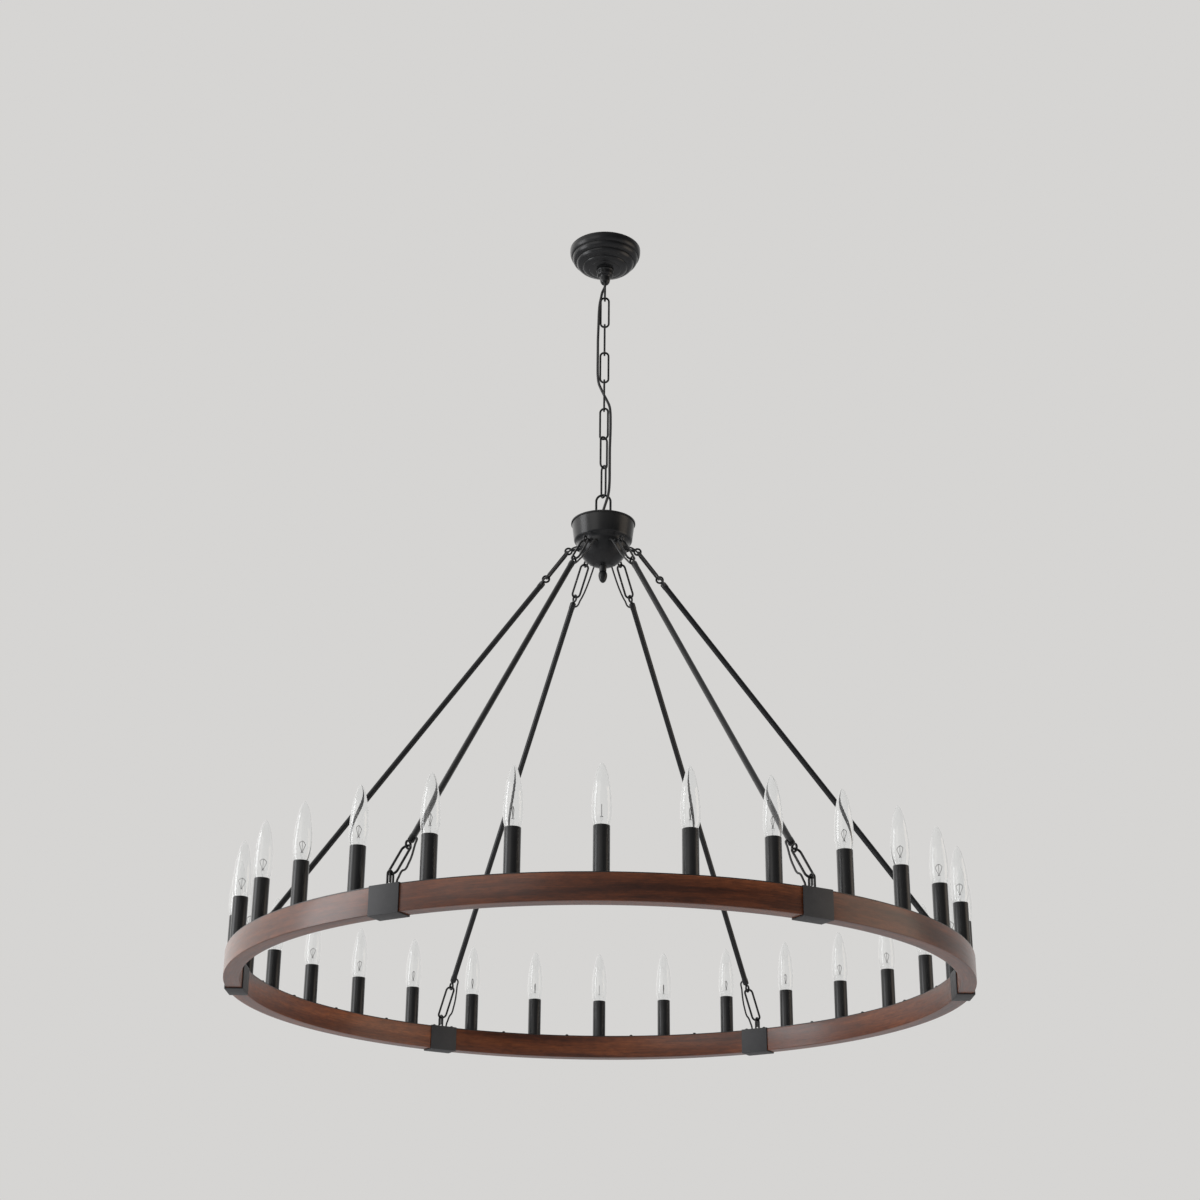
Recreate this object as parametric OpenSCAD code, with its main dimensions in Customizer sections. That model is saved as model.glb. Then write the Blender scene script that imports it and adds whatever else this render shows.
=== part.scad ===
// Wagon wheel chandelier: a wooden rim with thirty candle lamps, hung by six
// hollow rods from a round hub, a chain and a stepped ceiling canopy.
// Origin: centre of the ceiling crossbar's upper face, on the ceiling. +Z up.
// -Y is the front, +X is to the right seen from the front. Millimetres.

/* [Wheel] */
// Outside diameter of the wooden rim
rim_d = 1220; // [1100:5:1300]
// Radial width of the wooden rim
rim_w = 26; // [25:0.5:30]
// Height of the wooden rim
rim_h = 40; // [34:1:50]
// Rounding on the long edges of the rim
rim_edge = 1.6; // [0.8:0.2:2.4]
// Gap between the ends of two arcs, inside a bracket
arc_gap = 1; // [0.6:0.2:2]
// Width of the wiring groove in the top of the rim
groove_w = 12.5; // [12:0.5:13]
// Depth of the wiring groove
groove_depth = 14; // [12:1:18]
// Distance of the groove's cover strip from the rim's edges
cover_inset = 0.8; // [0.4:0.1:1.2]
// Thickness of the cover strip
cover_t = 1.2; // [0.8:0.2:2]

/* [Brackets] */
// Length of a bracket along the rim
bracket_len = 52; // [46:1:60]
// Sheet thickness of a bracket
bracket_t = 2; // [1.5:0.25:3]
// Wire diameter of the eye on a bracket
staple_wire = 3.4; // [3:0.2:4]
// Distance between the centres of the eye's two legs
staple_w = 14; // [13:0.5:17]
// Height of the eye above the bracket
staple_h = 24; // [20:1:30]

/* [Candles] */
// Candles on each arc of the rim
candles_per_arc = 5; // [3:1:6]
// Outside diameter of a candle sleeve
sleeve_d = 24; // [23:0.5:26]
// Wall of a candle sleeve
sleeve_t = 1; // [0.6:0.1:1.2]
// Height of a candle sleeve
sleeve_h = 68; // [60:1:90]
// Outside diameter of a lampholder
holder_d = 19; // [17:0.5:20]
// Height of a lampholder
holder_h = 40; // [34:1:46]
// Distance from the sleeve's top down to the lampholder's top
holder_inset = 7; // [6:0.5:9]
// Diameter of the threaded stem under a lampholder
stem_d = 8; // [7:0.5:9]

/* [Bulbs] */
// Largest diameter of a bulb's glass
bulb_d = 28.6; // [26:0.2:32]
// Height of the glass above the sleeve
bulb_h = 93; // [80:1:105]
// Height of the widest place above the sleeve
bulb_belly = 22; // [18:1:30]
// Wall of the glass
glass_t = 0.8; // [0.5:0.1:1.2]
// Diameter of the screw base
base_d = 11.9; // [11:0.1:13]
// Length of the screw base
base_len = 19; // [16:0.5:22]

/* [Rods] */
// Outside diameter of a rod
rod_d = 10; // [8:0.5:10.5]
// Wall of a rod
rod_t = 1; // [0.8:0.1:1.4]
// Diameter of the ferrule at each end of a rod
ferrule_d = 11; // [10.8:0.2:12]
// Length of a ferrule
ferrule_len = 15; // [12:1:20]
// Outside diameter of the rings on rods and hub
ring_d = 15.4; // [15:0.2:18]
// Wire diameter of those rings
ring_wire = 3.6; // [3:0.2:4]

/* [Chain] */
// Outside length of a chain link
link_len = 67; // [60:1:75]
// Outside width of a chain link
link_w = 19; // [18:0.5:21]
// Wire diameter of a chain link
link_wire = 3.8; // [3.2:0.2:4]
// Play where one link sits in the next
link_play = 0.3; // [0.2:0.05:0.4]
// Width of the butt joint in the side of a link
link_slit = 0.5; // [0.3:0.1:0.8]

/* [Canopy] */
// Diameter of the canopy at the ceiling
canopy_d = 134; // [124:1:150]
// Depth of the canopy below the ceiling
canopy_depth = 44; // [40:1:52]
// Sheet thickness of the canopy
canopy_t = 1.2; // [0.8:0.1:1.6]
// Diameter of the collar nut
collar_d = 33; // [30:1:36]
// Height of the collar nut
collar_h = 13.5; // [10:0.5:16]
// Diameter of the screw collar on the canopy loop
screw_collar_d = 24; // [23.6:0.2:25]
// Wire diameter of the canopy loop
loop_wire = 4.2; // [3.8:0.2:4.6]
// Outside width of the canopy loop
loop_w = 23.4; // [22:0.2:23.4]
// Length of the canopy loop below the collar nut
loop_len = 53.5; // [48:0.5:60]
// Length of the ceiling crossbar
crossbar_len = 104; // [98:1:110]
// Width of the ceiling crossbar
crossbar_w = 18; // [18:1:24]
// Thickness of the ceiling crossbar
crossbar_t = 2.5; // [2:0.25:3]
// Distance between the middles of the two mounting slots
slot_spacing = 80; // [76:1:84]
// Length of a mounting slot
slot_len = 16; // [10:1:18]
// Width of a mounting slot
slot_w = 4.8; // [4.4:0.1:5.4]

/* [Hub] */
// Diameter of the hub's lid
hub_d = 116; // [108:1:126]
// Depth of the hub's straight wall
hub_wall_h = 34; // [30:1:40]
// Radius of the hub's round underside
hub_ball_r = 46; // [44:1:48]
// Sheet thickness of the hub
hub_t = 1.2; // [1:0.1:1.6]
// Height of the loop above the lid
hub_loop_h = 58; // [54:1:66]
// Outside width of the loop on the hub
hub_loop_w = 30; // [28:0.5:33]
// Distance from the ball's centre to a hub ring's centre
hub_ring_reach = 64; // [62:0.5:68]
// Tilt of the hub rings below the horizontal
hub_ring_dip = 15; // [10:1:20]
// Drop from the hub's lid to the top of the rim
hub_drop = 811; // [700:5:900]
// Outside diameter of the threaded tubes in canopy and hub
tube_d = 10; // [9.6:0.2:10.4]
// Bore of those tubes
tube_bore = 7; // [6.6:0.2:7.4]

/* [Wiring] */
// Diameter of the supply cord
cord_d = 5; // [4:0.5:5]
// Diameter of the wire that runs through each rod
wire_d = 3.2; // [2.4:0.2:3.4]
// Diameter of the wiring loom in the rim
loom_d = 4; // [3:0.5:5]

/* [Fits] */
// Clearance round a piece that sits in a hole
fit = 0.1; // [0.05:0.05:0.2]
// Gap at the seat of a piece that rests on another
seat = 0.05; // [0.02:0.01:0.2]

/* [Hidden] */

// Finish colours
BLACK = [0.07, 0.07, 0.07];
STEEL = [0.62, 0.63, 0.65];
WOOD = [0.30, 0.14, 0.09];
GREEN = [0.15, 0.45, 0.22];
PHENOLIC = [0.12, 0.10, 0.09];
CLEAR = [0.85, 0.90, 0.92, 0.4];
BRASS = [0.75, 0.60, 0.30];

// Six rods, brackets and arcs; the first bracket is at the front left
LEGS = 6;
LEG_STEP = 360 / LEGS;
FIRST_LEG = -120;
function leg_angle(i) = FIRST_LEG + LEG_STEP * (i - 1);

// Chain: the turn of each link about the vertical, in degrees
LINK_TURN = [0, 90, 180, 270, 340, 400, 480];
LINKS = len(LINK_TURN);
CANOPY_LOOP_TURN = 90;

// Heights, counted down from the ceiling
collar_z = -canopy_depth - collar_h;
loop_low = collar_z - loop_len + loop_wire / 2;
first_link_z = loop_low + (loop_wire + link_wire) / 2 + link_play;
link_reach = link_len - link_wire;
link_pitch = link_len - 2 * link_wire - link_play;
function link_z(i) = first_link_z - (i - 1) * link_pitch;
last_link_low = link_z(LINKS) - link_reach;
hub_arch_z = last_link_low + (link_wire + loop_wire) / 2 + link_play;
hub_z = hub_arch_z + loop_wire / 2 - hub_loop_h;
rim_z = hub_z - hub_drop;

// Rim
rim_r = rim_d / 2 - rim_w / 2;
rim_in = rim_r - rim_w / 2;
rim_out = rim_r + rim_w / 2;
bracket_half = bracket_len / 2;
// The arc's inner face curves away from a straight bracket by this much
rim_sag = rim_in - sqrt(rim_in * rim_in - bracket_half * bracket_half);
bracket_in = rim_w / 2 + rim_sag + fit;
bracket_out = rim_w / 2 + fit;
bracket_top = fit + bracket_t;
cover_w = rim_w - 2 * cover_inset;
cover_top = seat + cover_t;
screw_x = -(groove_w / 2 + rim_w / 2) / 2;
screw_y = bracket_half - 8;
wire_hole_y = 11;
wire_hole_d = wire_d + 1;
loom_z = rim_z - groove_depth + loom_d / 2 + seat;

// Candles
sleeve_z = rim_z + cover_top + seat;
holder_z = sleeve_z + sleeve_h - holder_inset - holder_h;
stem_low = rim_z - 8;
stem_high = holder_z + 6;
holder_bore_d = base_d + 2 * fit;
bulb_z = sleeve_z + sleeve_h;
neck_z = 1 - holder_inset;
holder_floor = holder_h + holder_inset + neck_z - base_len - seat;
nut_af = 11;
nut_t = 3;

// Hub: the ball's centre below the lid, and the rings' place
ball_z = hub_z - hub_wall_h - 6;
hub_ring_r = hub_ring_reach * cos(hub_ring_dip);
hub_ring_z = ball_z - hub_ring_reach * sin(hub_ring_dip);
ring_r = (ring_d - ring_wire) / 2;
staple_r = staple_w / 2;
staple_z = rim_z + bracket_top + staple_h - staple_wire / 2 - staple_r;
hub_flat_r = 9;
hub_bottom = ball_z - sqrt(hub_ball_r * hub_ball_r - hub_flat_r * hub_flat_r);

// A leg runs from a hub ring's centre to a bracket eye's centre
leg_run = rim_r - hub_ring_r;
leg_fall = hub_ring_z - staple_z;
leg_len = sqrt(leg_run * leg_run + leg_fall * leg_fall);
leg_tilt = atan2(leg_fall, leg_run);
// Distance from an eye's centre to the centre of the link wire that pulls on it
ring_seat = ring_r - ring_wire / 2 - link_wire / 2 - link_play * 0.7;
staple_seat = staple_r - staple_wire / 2 - link_wire / 2 - link_play * 1.5;
upper_ring_s = 2 * ring_seat + link_reach;
lower_ring_s = leg_len - staple_seat - link_reach - ring_seat;
rod_bore = rod_d - 2 * rod_t;
wire_exit = ring_r + ferrule_len - 5;
rod_hole_d = wire_d + 2.2;

// Route of the supply cord, from the canopy through the chain to the hub
CORD = [
    [-17, 0, -21], [-11, 0, -21.5], [-4, 0, -24], [0, 0, -31], [0, 0, -42],
    [0, 0, -56], [0, 0, -70], [0, 0, -78], [-2, -2, -86], [-5, -4.5, -95],
    [-7, -6, -106], [-9.5, -6, -120], [-11, -5, -138], [-11.5, -4, -158],
    [-12, -4, -178], [-12.5, -4, -198], [-12.5, -4, -218], [-12.5, -4, -238],
    [-12.5, -4, -258], [-12, -4, -276], [-10, -3, -290], [-5, -1, -302],
    [0, 0, -313], [5, -1, -324], [9.5, -3.5, -336], [11.5, -5.5, -350],
    [12, -6, -368], [12, -6, -388], [11.5, -5, -408], [11, -4, -428],
    [11, -4, -448], [11, -4, -468], [11, -4, -486], [10.5, -4.5, -502],
    [9.5, -5.4, -514], [8, -5.8, -523], [5.5, -5, -532], [2.5, -2.5, -541],
    [0, -0.5, -550], [0, 0, -560], [0, 0, -574], [0, 0, -584],
    [-2.5, 0, -592], [-7.5, 0, -599], [-10, 0, -608], [-10.4, 0, -620],
    [-10.4, 0, -634], [-10.4, 0, -644]
];
CORD_SIDES = 10;
WIRE_SIDES = 8;

// ---------------------------------------------------------------- helpers

function unit(v) = v / norm(v);
function lerp(a, b, t) = a + (b - a) * t;

// Direction of a route at one of its points
function heading(path, i) =
    unit(path[min(i + 1, len(path) - 1)] - path[max(i - 1, 0)]);

// A side vector carried along the route without twist
function side_at(path, i, first) =
    i == 0
        ? unit(cross(heading(path, 0), first))
        : let (h = heading(path, i), s = side_at(path, i - 1, first))
          unit(s - h * (s * h));

function ring_points(path, i, r, sides, first) =
    let (h = heading(path, i), u = side_at(path, i, first), v = cross(h, u))
    [for (k = [0:sides - 1])
        let (a = 360 * k / sides) path[i] + r * (cos(a) * u + sin(a) * v)];

// One closed tube swept along a route
module tube_along(path, d, sides, first = [0, 1, 0.01]) {
    n = len(path);
    points = [for (i = [0:n - 1]) each ring_points(path, i, d / 2, sides, first)];
    walls = [for (i = [0:n - 2]) for (k = [0:sides - 1])
        let (j = (k + 1) % sides)
        [i * sides + k, (i + 1) * sides + k, (i + 1) * sides + j, i * sides + j]];
    start = [for (k = [0:sides - 1]) k];
    end = [for (k = [sides - 1:-1:0]) (n - 1) * sides + k];
    polyhedron(points = points, faces = concat([start], walls, [end]), convexity = 4);
}

// Closed and half rings of round wire in the X-Z plane
module wire_ring(r, wire) {
    rotate([90, 0, 0])
        rotate_extrude($fn = 40)
            translate([r, 0])
                circle(d = wire, $fn = 16);
}

module wire_arch(r, wire) {
    rotate([90, 0, 0])
        rotate_extrude(angle = 180, $fn = 40)
            translate([r, 0])
                circle(d = wire, $fn = 16);
}

// Oval chain link hanging from its upper wire's centre, in the X-Z plane
module chain_link() {
    r = (link_w - link_wire) / 2;
    straight = link_len - link_w;
    difference() {
        union() {
            translate([0, 0, -r]) wire_arch(r, link_wire);
            translate([0, 0, -r - straight]) mirror([0, 0, 1]) wire_arch(r, link_wire);
            for (x = [-r, r])
                translate([x, 0, -r - straight])
                    cylinder(d = link_wire, h = straight, $fn = 16);
        }
        translate([r - link_wire, -link_wire, -r - straight / 2 - link_slit / 2])
            cube([2 * link_wire, 2 * link_wire, link_slit]);
    }
}

module hex_nut(af, bore, t) {
    difference() {
        cylinder(d = af / cos(30), h = t, $fn = 6);
        translate([0, 0, -1]) cylinder(d = bore, h = t + 2, $fn = 32);
    }
}

// Pan-head wood screw: the seat of its head is at z = 0
SCREW_HEAD_D = 5.6;
SCREW_HEAD_H = 2.2;
SCREW_D = 2.9;
SCREW_LEN = 13;
module pan_screw() {
    head_r = SCREW_HEAD_D / 2;
    difference() {
        rotate_extrude($fn = 24)
            polygon([
                [0, -SCREW_LEN], [SCREW_D / 2, -SCREW_LEN + 4], [SCREW_D / 2, 0],
                [head_r, 0], [head_r, SCREW_HEAD_H * 0.4], [head_r * 0.86, SCREW_HEAD_H * 0.75],
                [head_r * 0.5, SCREW_HEAD_H], [0, SCREW_HEAD_H]
            ]);
        for (a = [0, 90])
            rotate([0, 0, a])
                translate([-head_r * 0.55, -0.4, SCREW_HEAD_H * 0.45])
                    cube([head_r * 1.1, 0.8, SCREW_HEAD_H]);
    }
}

// Radial, tangential and vertical axes at the rim's middle line and top face
module at_rim(angle) {
    rotate([0, 0, angle])
        translate([rim_r, 0, rim_z])
            children();
}

module at_each_leg() {
    for (i = [1:LEGS]) at_rim(leg_angle(i)) children();
}

function candle_angle(arc, k) =
    leg_angle(arc) + LEG_STEP * (k - 0.5) / candles_per_arc;

module at_each_candle() {
    for (arc = [1:LEGS]) for (k = [1:candles_per_arc])
        rotate([0, 0, candle_angle(arc, k)])
            translate([rim_r, 0, 0])
                children();
}

// Leg axes: +X runs down the leg from the hub ring's centre
module on_leg(i) {
    rotate([0, 0, leg_angle(i)])
        translate([hub_ring_r, 0, hub_ring_z])
            rotate([0, leg_tilt, 0])
                children();
}

// ---------------------------------------------------------------- ceiling

module slot(len, w, t) {
    for (x = [-1, 1])
        translate([x * (len - w) / 2, 0, 0]) cylinder(d = w, h = t, $fn = 32);
    translate([-(len - w) / 2, -w / 2, 0]) cube([len - w, w, t]);
}

GROUND_X = 22;
GROUND_D = 4;
module ceiling_crossbar() {
    rib_h = 1.6;
    color(STEEL) difference() {
        union() {
            translate([-crossbar_len / 2, -crossbar_w / 2, -crossbar_t])
                cube([crossbar_len, crossbar_w, crossbar_t]);
            for (y = [-1, 1])
                translate([-crossbar_len / 2, y * (crossbar_w - 1.6) / 2 - 0.8, -crossbar_t - rib_h])
                    cube([crossbar_len, 1.6, rib_h]);
        }
        for (x = [-1, 1])
            translate([x * slot_spacing / 2, 0, -crossbar_t - 1])
                slot(slot_len, slot_w, crossbar_t + 2);
        translate([0, 0, -crossbar_t - 1])
            cylinder(d = tube_d + 2 * fit, h = crossbar_t + 2, $fn = 48);
        translate([GROUND_X, 0, -crossbar_t - 1])
            cylinder(d = GROUND_D + 2 * fit, h = crossbar_t + 2, $fn = 32);
    }
}

module ground_screw() {
    head_h = 3;
    color(GREEN) difference() {
        translate([GROUND_X, 0, 0]) union() {
            translate([0, 0, -crossbar_t - seat]) cylinder(d = GROUND_D, h = crossbar_t, $fn = 32);
            translate([0, 0, -crossbar_t - seat - head_h]) cylinder(d = 8.5, h = head_h, $fn = 6);
            translate([0, 0, -crossbar_t - seat - 0.8]) cylinder(d = 10, h = 0.8, $fn = 32);
        }
        translate([GROUND_X - 5, -0.5, -crossbar_t - seat - head_h - 1]) cube([10, 1, 2]);
    }
}

// Threaded tube with a side window for the cord
NIPPLE_WINDOW = [-33, -14];
module threaded_nipple() {
    bottom = -canopy_depth - 6;
    color(STEEL) difference() {
        translate([0, 0, bottom]) cylinder(d = tube_d, h = -bottom, $fn = 48);
        translate([0, 0, bottom - 1]) cylinder(d = tube_bore, h = -bottom + 2, $fn = 48);
        translate([-tube_d, -tube_bore / 2, NIPPLE_WINDOW[0]])
            cube([tube_d, tube_bore, NIPPLE_WINDOW[1] - NIPPLE_WINDOW[0]]);
    }
}

module nipple_locknut() {
    color(STEEL)
        translate([0, 0, -crossbar_t - seat - 4])
            hex_nut(14, tube_d + 2 * fit, 4);
}

// Screw-collar loop: threaded collar, neck and an oval ring for the chain
module canopy_loop() {
    top = -canopy_depth + 4;
    neck_z = collar_z - 13;
    r = (loop_w - loop_wire) / 2;
    ring_top = neck_z - r + 1;
    color(BLACK) difference() {
        union() {
            translate([0, 0, collar_z]) cylinder(d = screw_collar_d, h = top - collar_z, $fn = 64);
            rotate_extrude($fn = 48)
                polygon([
                    [0, neck_z - 3], [6, neck_z - 3], [8.4, neck_z], [9.5, neck_z + 4],
                    [9.5, collar_z - 2.5], [11, collar_z], [0, collar_z]
                ]);
            rotate([0, 0, CANOPY_LOOP_TURN]) {
                translate([0, 0, ring_top]) wire_arch(r, loop_wire);
                translate([0, 0, loop_low + r]) mirror([0, 0, 1]) wire_arch(r, loop_wire);
                for (x = [-r, r])
                    translate([x, 0, loop_low + r])
                        cylinder(d = loop_wire, h = ring_top - loop_low - r, $fn = 16);
            }
        }
        translate([0, 0, -canopy_depth - 8])
            cylinder(d = tube_d + 2 * fit, h = canopy_depth, $fn = 48);
        translate([0, 0, neck_z - 6])
            cylinder(d = cord_d + 1, h = canopy_depth, $fn = 32);
    }
}

// Twist-on wire connectors, mouths towards the nipple
WIRE_NUT_X = -25;
WIRE_NUT_Y = [-15, 0, 15];
WIRE_NUT_Z = -21;
LEAD_D = 1.6;
module wire_nut(bore) {
    rotate([0, -90, 0]) difference() {
        union() {
            rotate_extrude($fn = 32)
                polygon([[0, 0], [6.4, 0], [6.4, 3], [5.9, 5], [4.2, 19], [3.4, 20.5], [0, 20.5]]);
            for (a = [0, 180])
                rotate([0, 0, a]) translate([5, -1, 0.5]) cube([3, 2, 8]);
        }
        translate([0, 0, -1]) cylinder(d = bore, h = 13, $fn = 24);
    }
}

module wire_nuts() {
    color([0.80, 0.35, 0.10])
        for (y = WIRE_NUT_Y)
            translate([WIRE_NUT_X, y, WIRE_NUT_Z]) wire_nut(LEAD_D + 0.6);
}

// Radii and depths where one rolled ring of the canopy ends and the next begins
CANOPY_STEPS = [[1, 0], [0.93, 0.3], [0.815, 0.56], [0.635, 0.81], [0.455, 0.95], [0.31, 1]];
CANOPY_RIM = 3.5;

// Each ring drops straight from its start and turns in flat to its end
function canopy_outline(inset) =
    let (r = canopy_d / 2 - inset, d = canopy_depth - CANOPY_RIM - inset)
    concat(
        [[r, 0]],
        [for (k = [0:len(CANOPY_STEPS) - 2]) for (a = [0:18:90])
            let (from = CANOPY_STEPS[k], to = CANOPY_STEPS[k + 1])
            [r * lerp(to[0], from[0], cos(a)), -CANOPY_RIM - d * lerp(from[1], to[1], sin(a))]]
    );

canopy_hole_d = screw_collar_d + 4;
module canopy() {
    outer = canopy_outline(0);
    inner = canopy_outline(canopy_t);
    n = len(inner);
    color(BLACK)
        rotate_extrude($fn = 96)
            polygon(concat(
                outer,
                [[canopy_hole_d / 2, -canopy_depth], [canopy_hole_d / 2, -canopy_depth + canopy_t]],
                [for (i = [n - 1:-1:0]) inner[i]]
            ));
}

module canopy_collar_nut() {
    r = collar_d / 2;
    bore = screw_collar_d / 2 + fit;
    top = -canopy_depth - seat;
    color(BLACK) difference() {
        rotate_extrude($fn = 64)
            polygon([
                [bore, top], [r, top], [r, top - 2.5], [r - 1.2, top - 4],
                [r - 1.2, collar_z + 3], [r - 2.2, collar_z + 1], [r - 4, collar_z], [bore, collar_z]
            ]);
        for (a = [0:30:330])
            rotate([0, 0, a])
                translate([r - 0.9, 0, collar_z - 1])
                    cylinder(d = 2, h = collar_h - 4, $fn = 16);
    }
}

module cord_lead(y) {
    start = CORD[0] + [1, 1.4 * sign(y), 0];
    tube_along([
        start, start + [-2.5, 0.4 * sign(y), 0], [CORD[0][0] - 3, y * 0.45, WIRE_NUT_Z],
        [WIRE_NUT_X + 2.5, y * 0.92, WIRE_NUT_Z], [WIRE_NUT_X - 1, y, WIRE_NUT_Z],
        [WIRE_NUT_X - 11, y, WIRE_NUT_Z]
    ], LEAD_D, WIRE_SIDES, [0, 0, 1]);
}

module supply_cord() {
    color(BLACK) {
        tube_along(CORD, cord_d, CORD_SIDES);
        for (y = WIRE_NUT_Y) cord_lead(y);
    }
}

// ---------------------------------------------------------------- chain

module hanging_link(i) {
    color(BLACK)
        translate([0, 0, link_z(i)])
            rotate([0, 0, LINK_TURN[i - 1]])
                chain_link();
}

// ---------------------------------------------------------------- hub

HUB_BOSS_H = 13;
module hub_loop() {
    r = (hub_loop_w - loop_wire) / 2;
    boss_r = hub_loop_w / 2 + 1.5;
    color(BLACK) difference() {
        union() {
            translate([0, 0, hub_arch_z - r]) wire_arch(r, loop_wire);
            for (x = [-r, r])
                translate([x, 0, hub_z + 4])
                    cylinder(d = loop_wire, h = hub_arch_z - r - hub_z - 4, $fn = 16);
            translate([0, 0, hub_z + seat])
                rotate_extrude($fn = 48)
                    polygon([
                        [0, 0], [boss_r, 0], [boss_r, 5], [boss_r - 1.5, 7],
                        [boss_r - 1.5, HUB_BOSS_H - 1.5], [boss_r - 3, HUB_BOSS_H], [0, HUB_BOSS_H]
                    ]);
        }
        translate([0, 0, hub_z - 1]) cylinder(d = tube_d + 2 * fit, h = HUB_BOSS_H - 3, $fn = 48);
        translate([0, 0, hub_z - 1]) cylinder(d = cord_d + 1, h = HUB_BOSS_H + 3, $fn = 32);
    }
}

module hub_lid() {
    r = hub_d / 2;
    lip = 3.2;
    color(BLACK)
        rotate_extrude($fn = 96)
            polygon([
                [tube_d / 2 + fit, hub_z], [r - 0.6, hub_z], [r, hub_z - 0.6], [r, hub_z - lip],
                [r - hub_t, hub_z - lip], [r - hub_t, hub_z - hub_t],
                [tube_d / 2 + fit, hub_z - hub_t]
            ]);
}

// Hub wall: a slightly tapered cup that turns in to a round underside
function hub_outline(inset) =
    let (
        top = hub_z - hub_t - seat,
        top_r = hub_d / 2 - hub_t - 0.3,
        low_r = hub_ball_r + 6.5
    )
    concat(
        [[top_r - inset, top], [low_r - inset, hub_z - hub_wall_h]],
        [for (a = [15:25:65])
            [low_r - inset - (5.2 - inset * 0.3) * (1 - cos(a)),
             hub_z - hub_wall_h - 5.2 * sin(a)]],
        [for (a = [4:6:76]) (hub_ball_r - inset) * [cos(a), -sin(a)] + [0, ball_z]],
        [[hub_flat_r, hub_bottom + inset]]
    );

HUB_EYE_D = 5;
module hub_bolt_axis(i) {
    rotate([0, 0, leg_angle(i)])
        translate([0, 0, ball_z])
            rotate([0, hub_ring_dip, 0])
                children();
}

HUB_WIRE_TURN = 15;
function leg_side(i) = i == 1 || i == 4 || i == 6 ? 1 : -1;
module hub_wire_axis(i) {
    rotate([0, 0, leg_angle(i) + leg_side(i) * HUB_WIRE_TURN])
        translate([0, 0, ball_z])
            rotate([0, hub_ring_dip, 0])
                rotate([0, 90, 0])
                    children();
}

module hub_bowl() {
    outer = hub_outline(0);
    inner = hub_outline(hub_t);
    n = len(inner);
    hole = tube_d / 2 + fit;
    color(BLACK) difference() {
        rotate_extrude($fn = 96)
            polygon(concat(
                outer,
                [[hole, hub_bottom], [hole, hub_bottom + hub_t]],
                [for (i = [n - 1:-1:0]) inner[i]]
            ));
        for (i = [1:LEGS]) {
            hub_bolt_axis(i)
                translate([hub_ball_r - 5, 0, 0])
                    rotate([0, 90, 0])
                        cylinder(d = HUB_EYE_D + 2 * fit, h = 10, $fn = 32);
            hub_wire_axis(i)
                translate([0, 0, hub_ball_r - 5])
                    cylinder(d = wire_hole_d, h = 10, $fn = 24);
        }
    }
}

// Threaded tube through the hub, with a side window for the cord
HUB_WINDOW = [-29, -11];
module hub_stem() {
    bottom = hub_bottom - 8;
    top = hub_z + HUB_BOSS_H - 6;
    color(STEEL) difference() {
        translate([0, 0, bottom]) cylinder(d = tube_d, h = top - bottom, $fn = 48);
        translate([0, 0, bottom - 1]) cylinder(d = tube_bore, h = top - bottom + 2, $fn = 48);
        translate([-tube_d, -tube_bore / 2, hub_z + HUB_WINDOW[0]])
            cube([tube_d, tube_bore, HUB_WINDOW[1] - HUB_WINDOW[0]]);
    }
}

module hub_nuts() {
    nut_h = 4;
    color(STEEL) {
        translate([0, 0, hub_z - hub_t - seat - nut_h]) hex_nut(16, tube_d + 2 * fit, nut_h);
        translate([0, 0, hub_bottom + hub_t + seat]) hex_nut(14, tube_d + 2 * fit, nut_h);
        for (i = [1:LEGS])
            hub_bolt_axis(i)
                translate([hub_ball_r - hub_t - 0.4, 0, 0])
                    rotate([0, -90, 0])
                        hex_nut(8, HUB_EYE_D + 2 * fit, 3);
    }
}

module hub_finial() {
    top = hub_bottom - seat;
    color(BLACK) difference() {
        rotate_extrude($fn = 48)
            polygon([
                [0, top], [6.8, top], [6.8, top - 1.5], [6.4, top - 3], [6.4, top - 9],
                [5.9, top - 10.5], [6.4, top - 11.5], [7.6, top - 14], [8, top - 18],
                [7.4, top - 22.5], [5.9, top - 27], [3.7, top - 30.3], [1.5, top - 31.8], [0, top - 32]
            ]);
        translate([0, 0, top - 9]) cylinder(d = tube_d + 2 * fit, h = 20, $fn = 48);
    }
}

// Eye bolts through the hub's wall: ring, shoulder and threaded shank
module hub_eye_bolts() {
    color(BLACK)
        for (i = [1:LEGS]) hub_bolt_axis(i) {
            translate([hub_ring_reach, 0, 0]) wire_ring(ring_r, ring_wire);
            translate([hub_ball_r + seat, 0, 0])
                rotate([0, 90, 0])
                    cylinder(d1 = 10, d2 = 6.5, h = 3, $fn = 32);
            translate([hub_ball_r - 7, 0, 0])
                rotate([0, 90, 0])
                    cylinder(d = HUB_EYE_D, h = hub_ring_reach - ring_r - hub_ball_r + 7.4, $fn = 32);
        }
}

// Round terminal block on the stem: the cord enters its top, six wires its side
BLOCK_R = 15;
BLOCK_H = 12;
block_z = hub_bottom + hub_t + 2 * seat + 4;
block_wire_z = block_z + 4;
module hub_connector() {
    cord_end = CORD[len(CORD) - 1];
    color(PHENOLIC) difference() {
        translate([0, 0, block_z]) cylinder(r = BLOCK_R, h = BLOCK_H, $fn = 48);
        translate([0, 0, block_z - 1]) cylinder(d = tube_d + 1, h = BLOCK_H + 2, $fn = 48);
        translate([cord_end[0], cord_end[1], block_z + BLOCK_H - 4])
            cylinder(d = cord_d + 0.6, h = 5, $fn = 32);
        for (i = [1:LEGS])
            rotate([0, 0, leg_angle(i) + leg_side(i) * HUB_WIRE_TURN])
                translate([BLOCK_R - 6, 0, block_wire_z])
                    rotate([0, 90, 0])
                        cylinder(d = wire_d + 0.6, h = 10, $fn = 24);
    }
}

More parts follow.
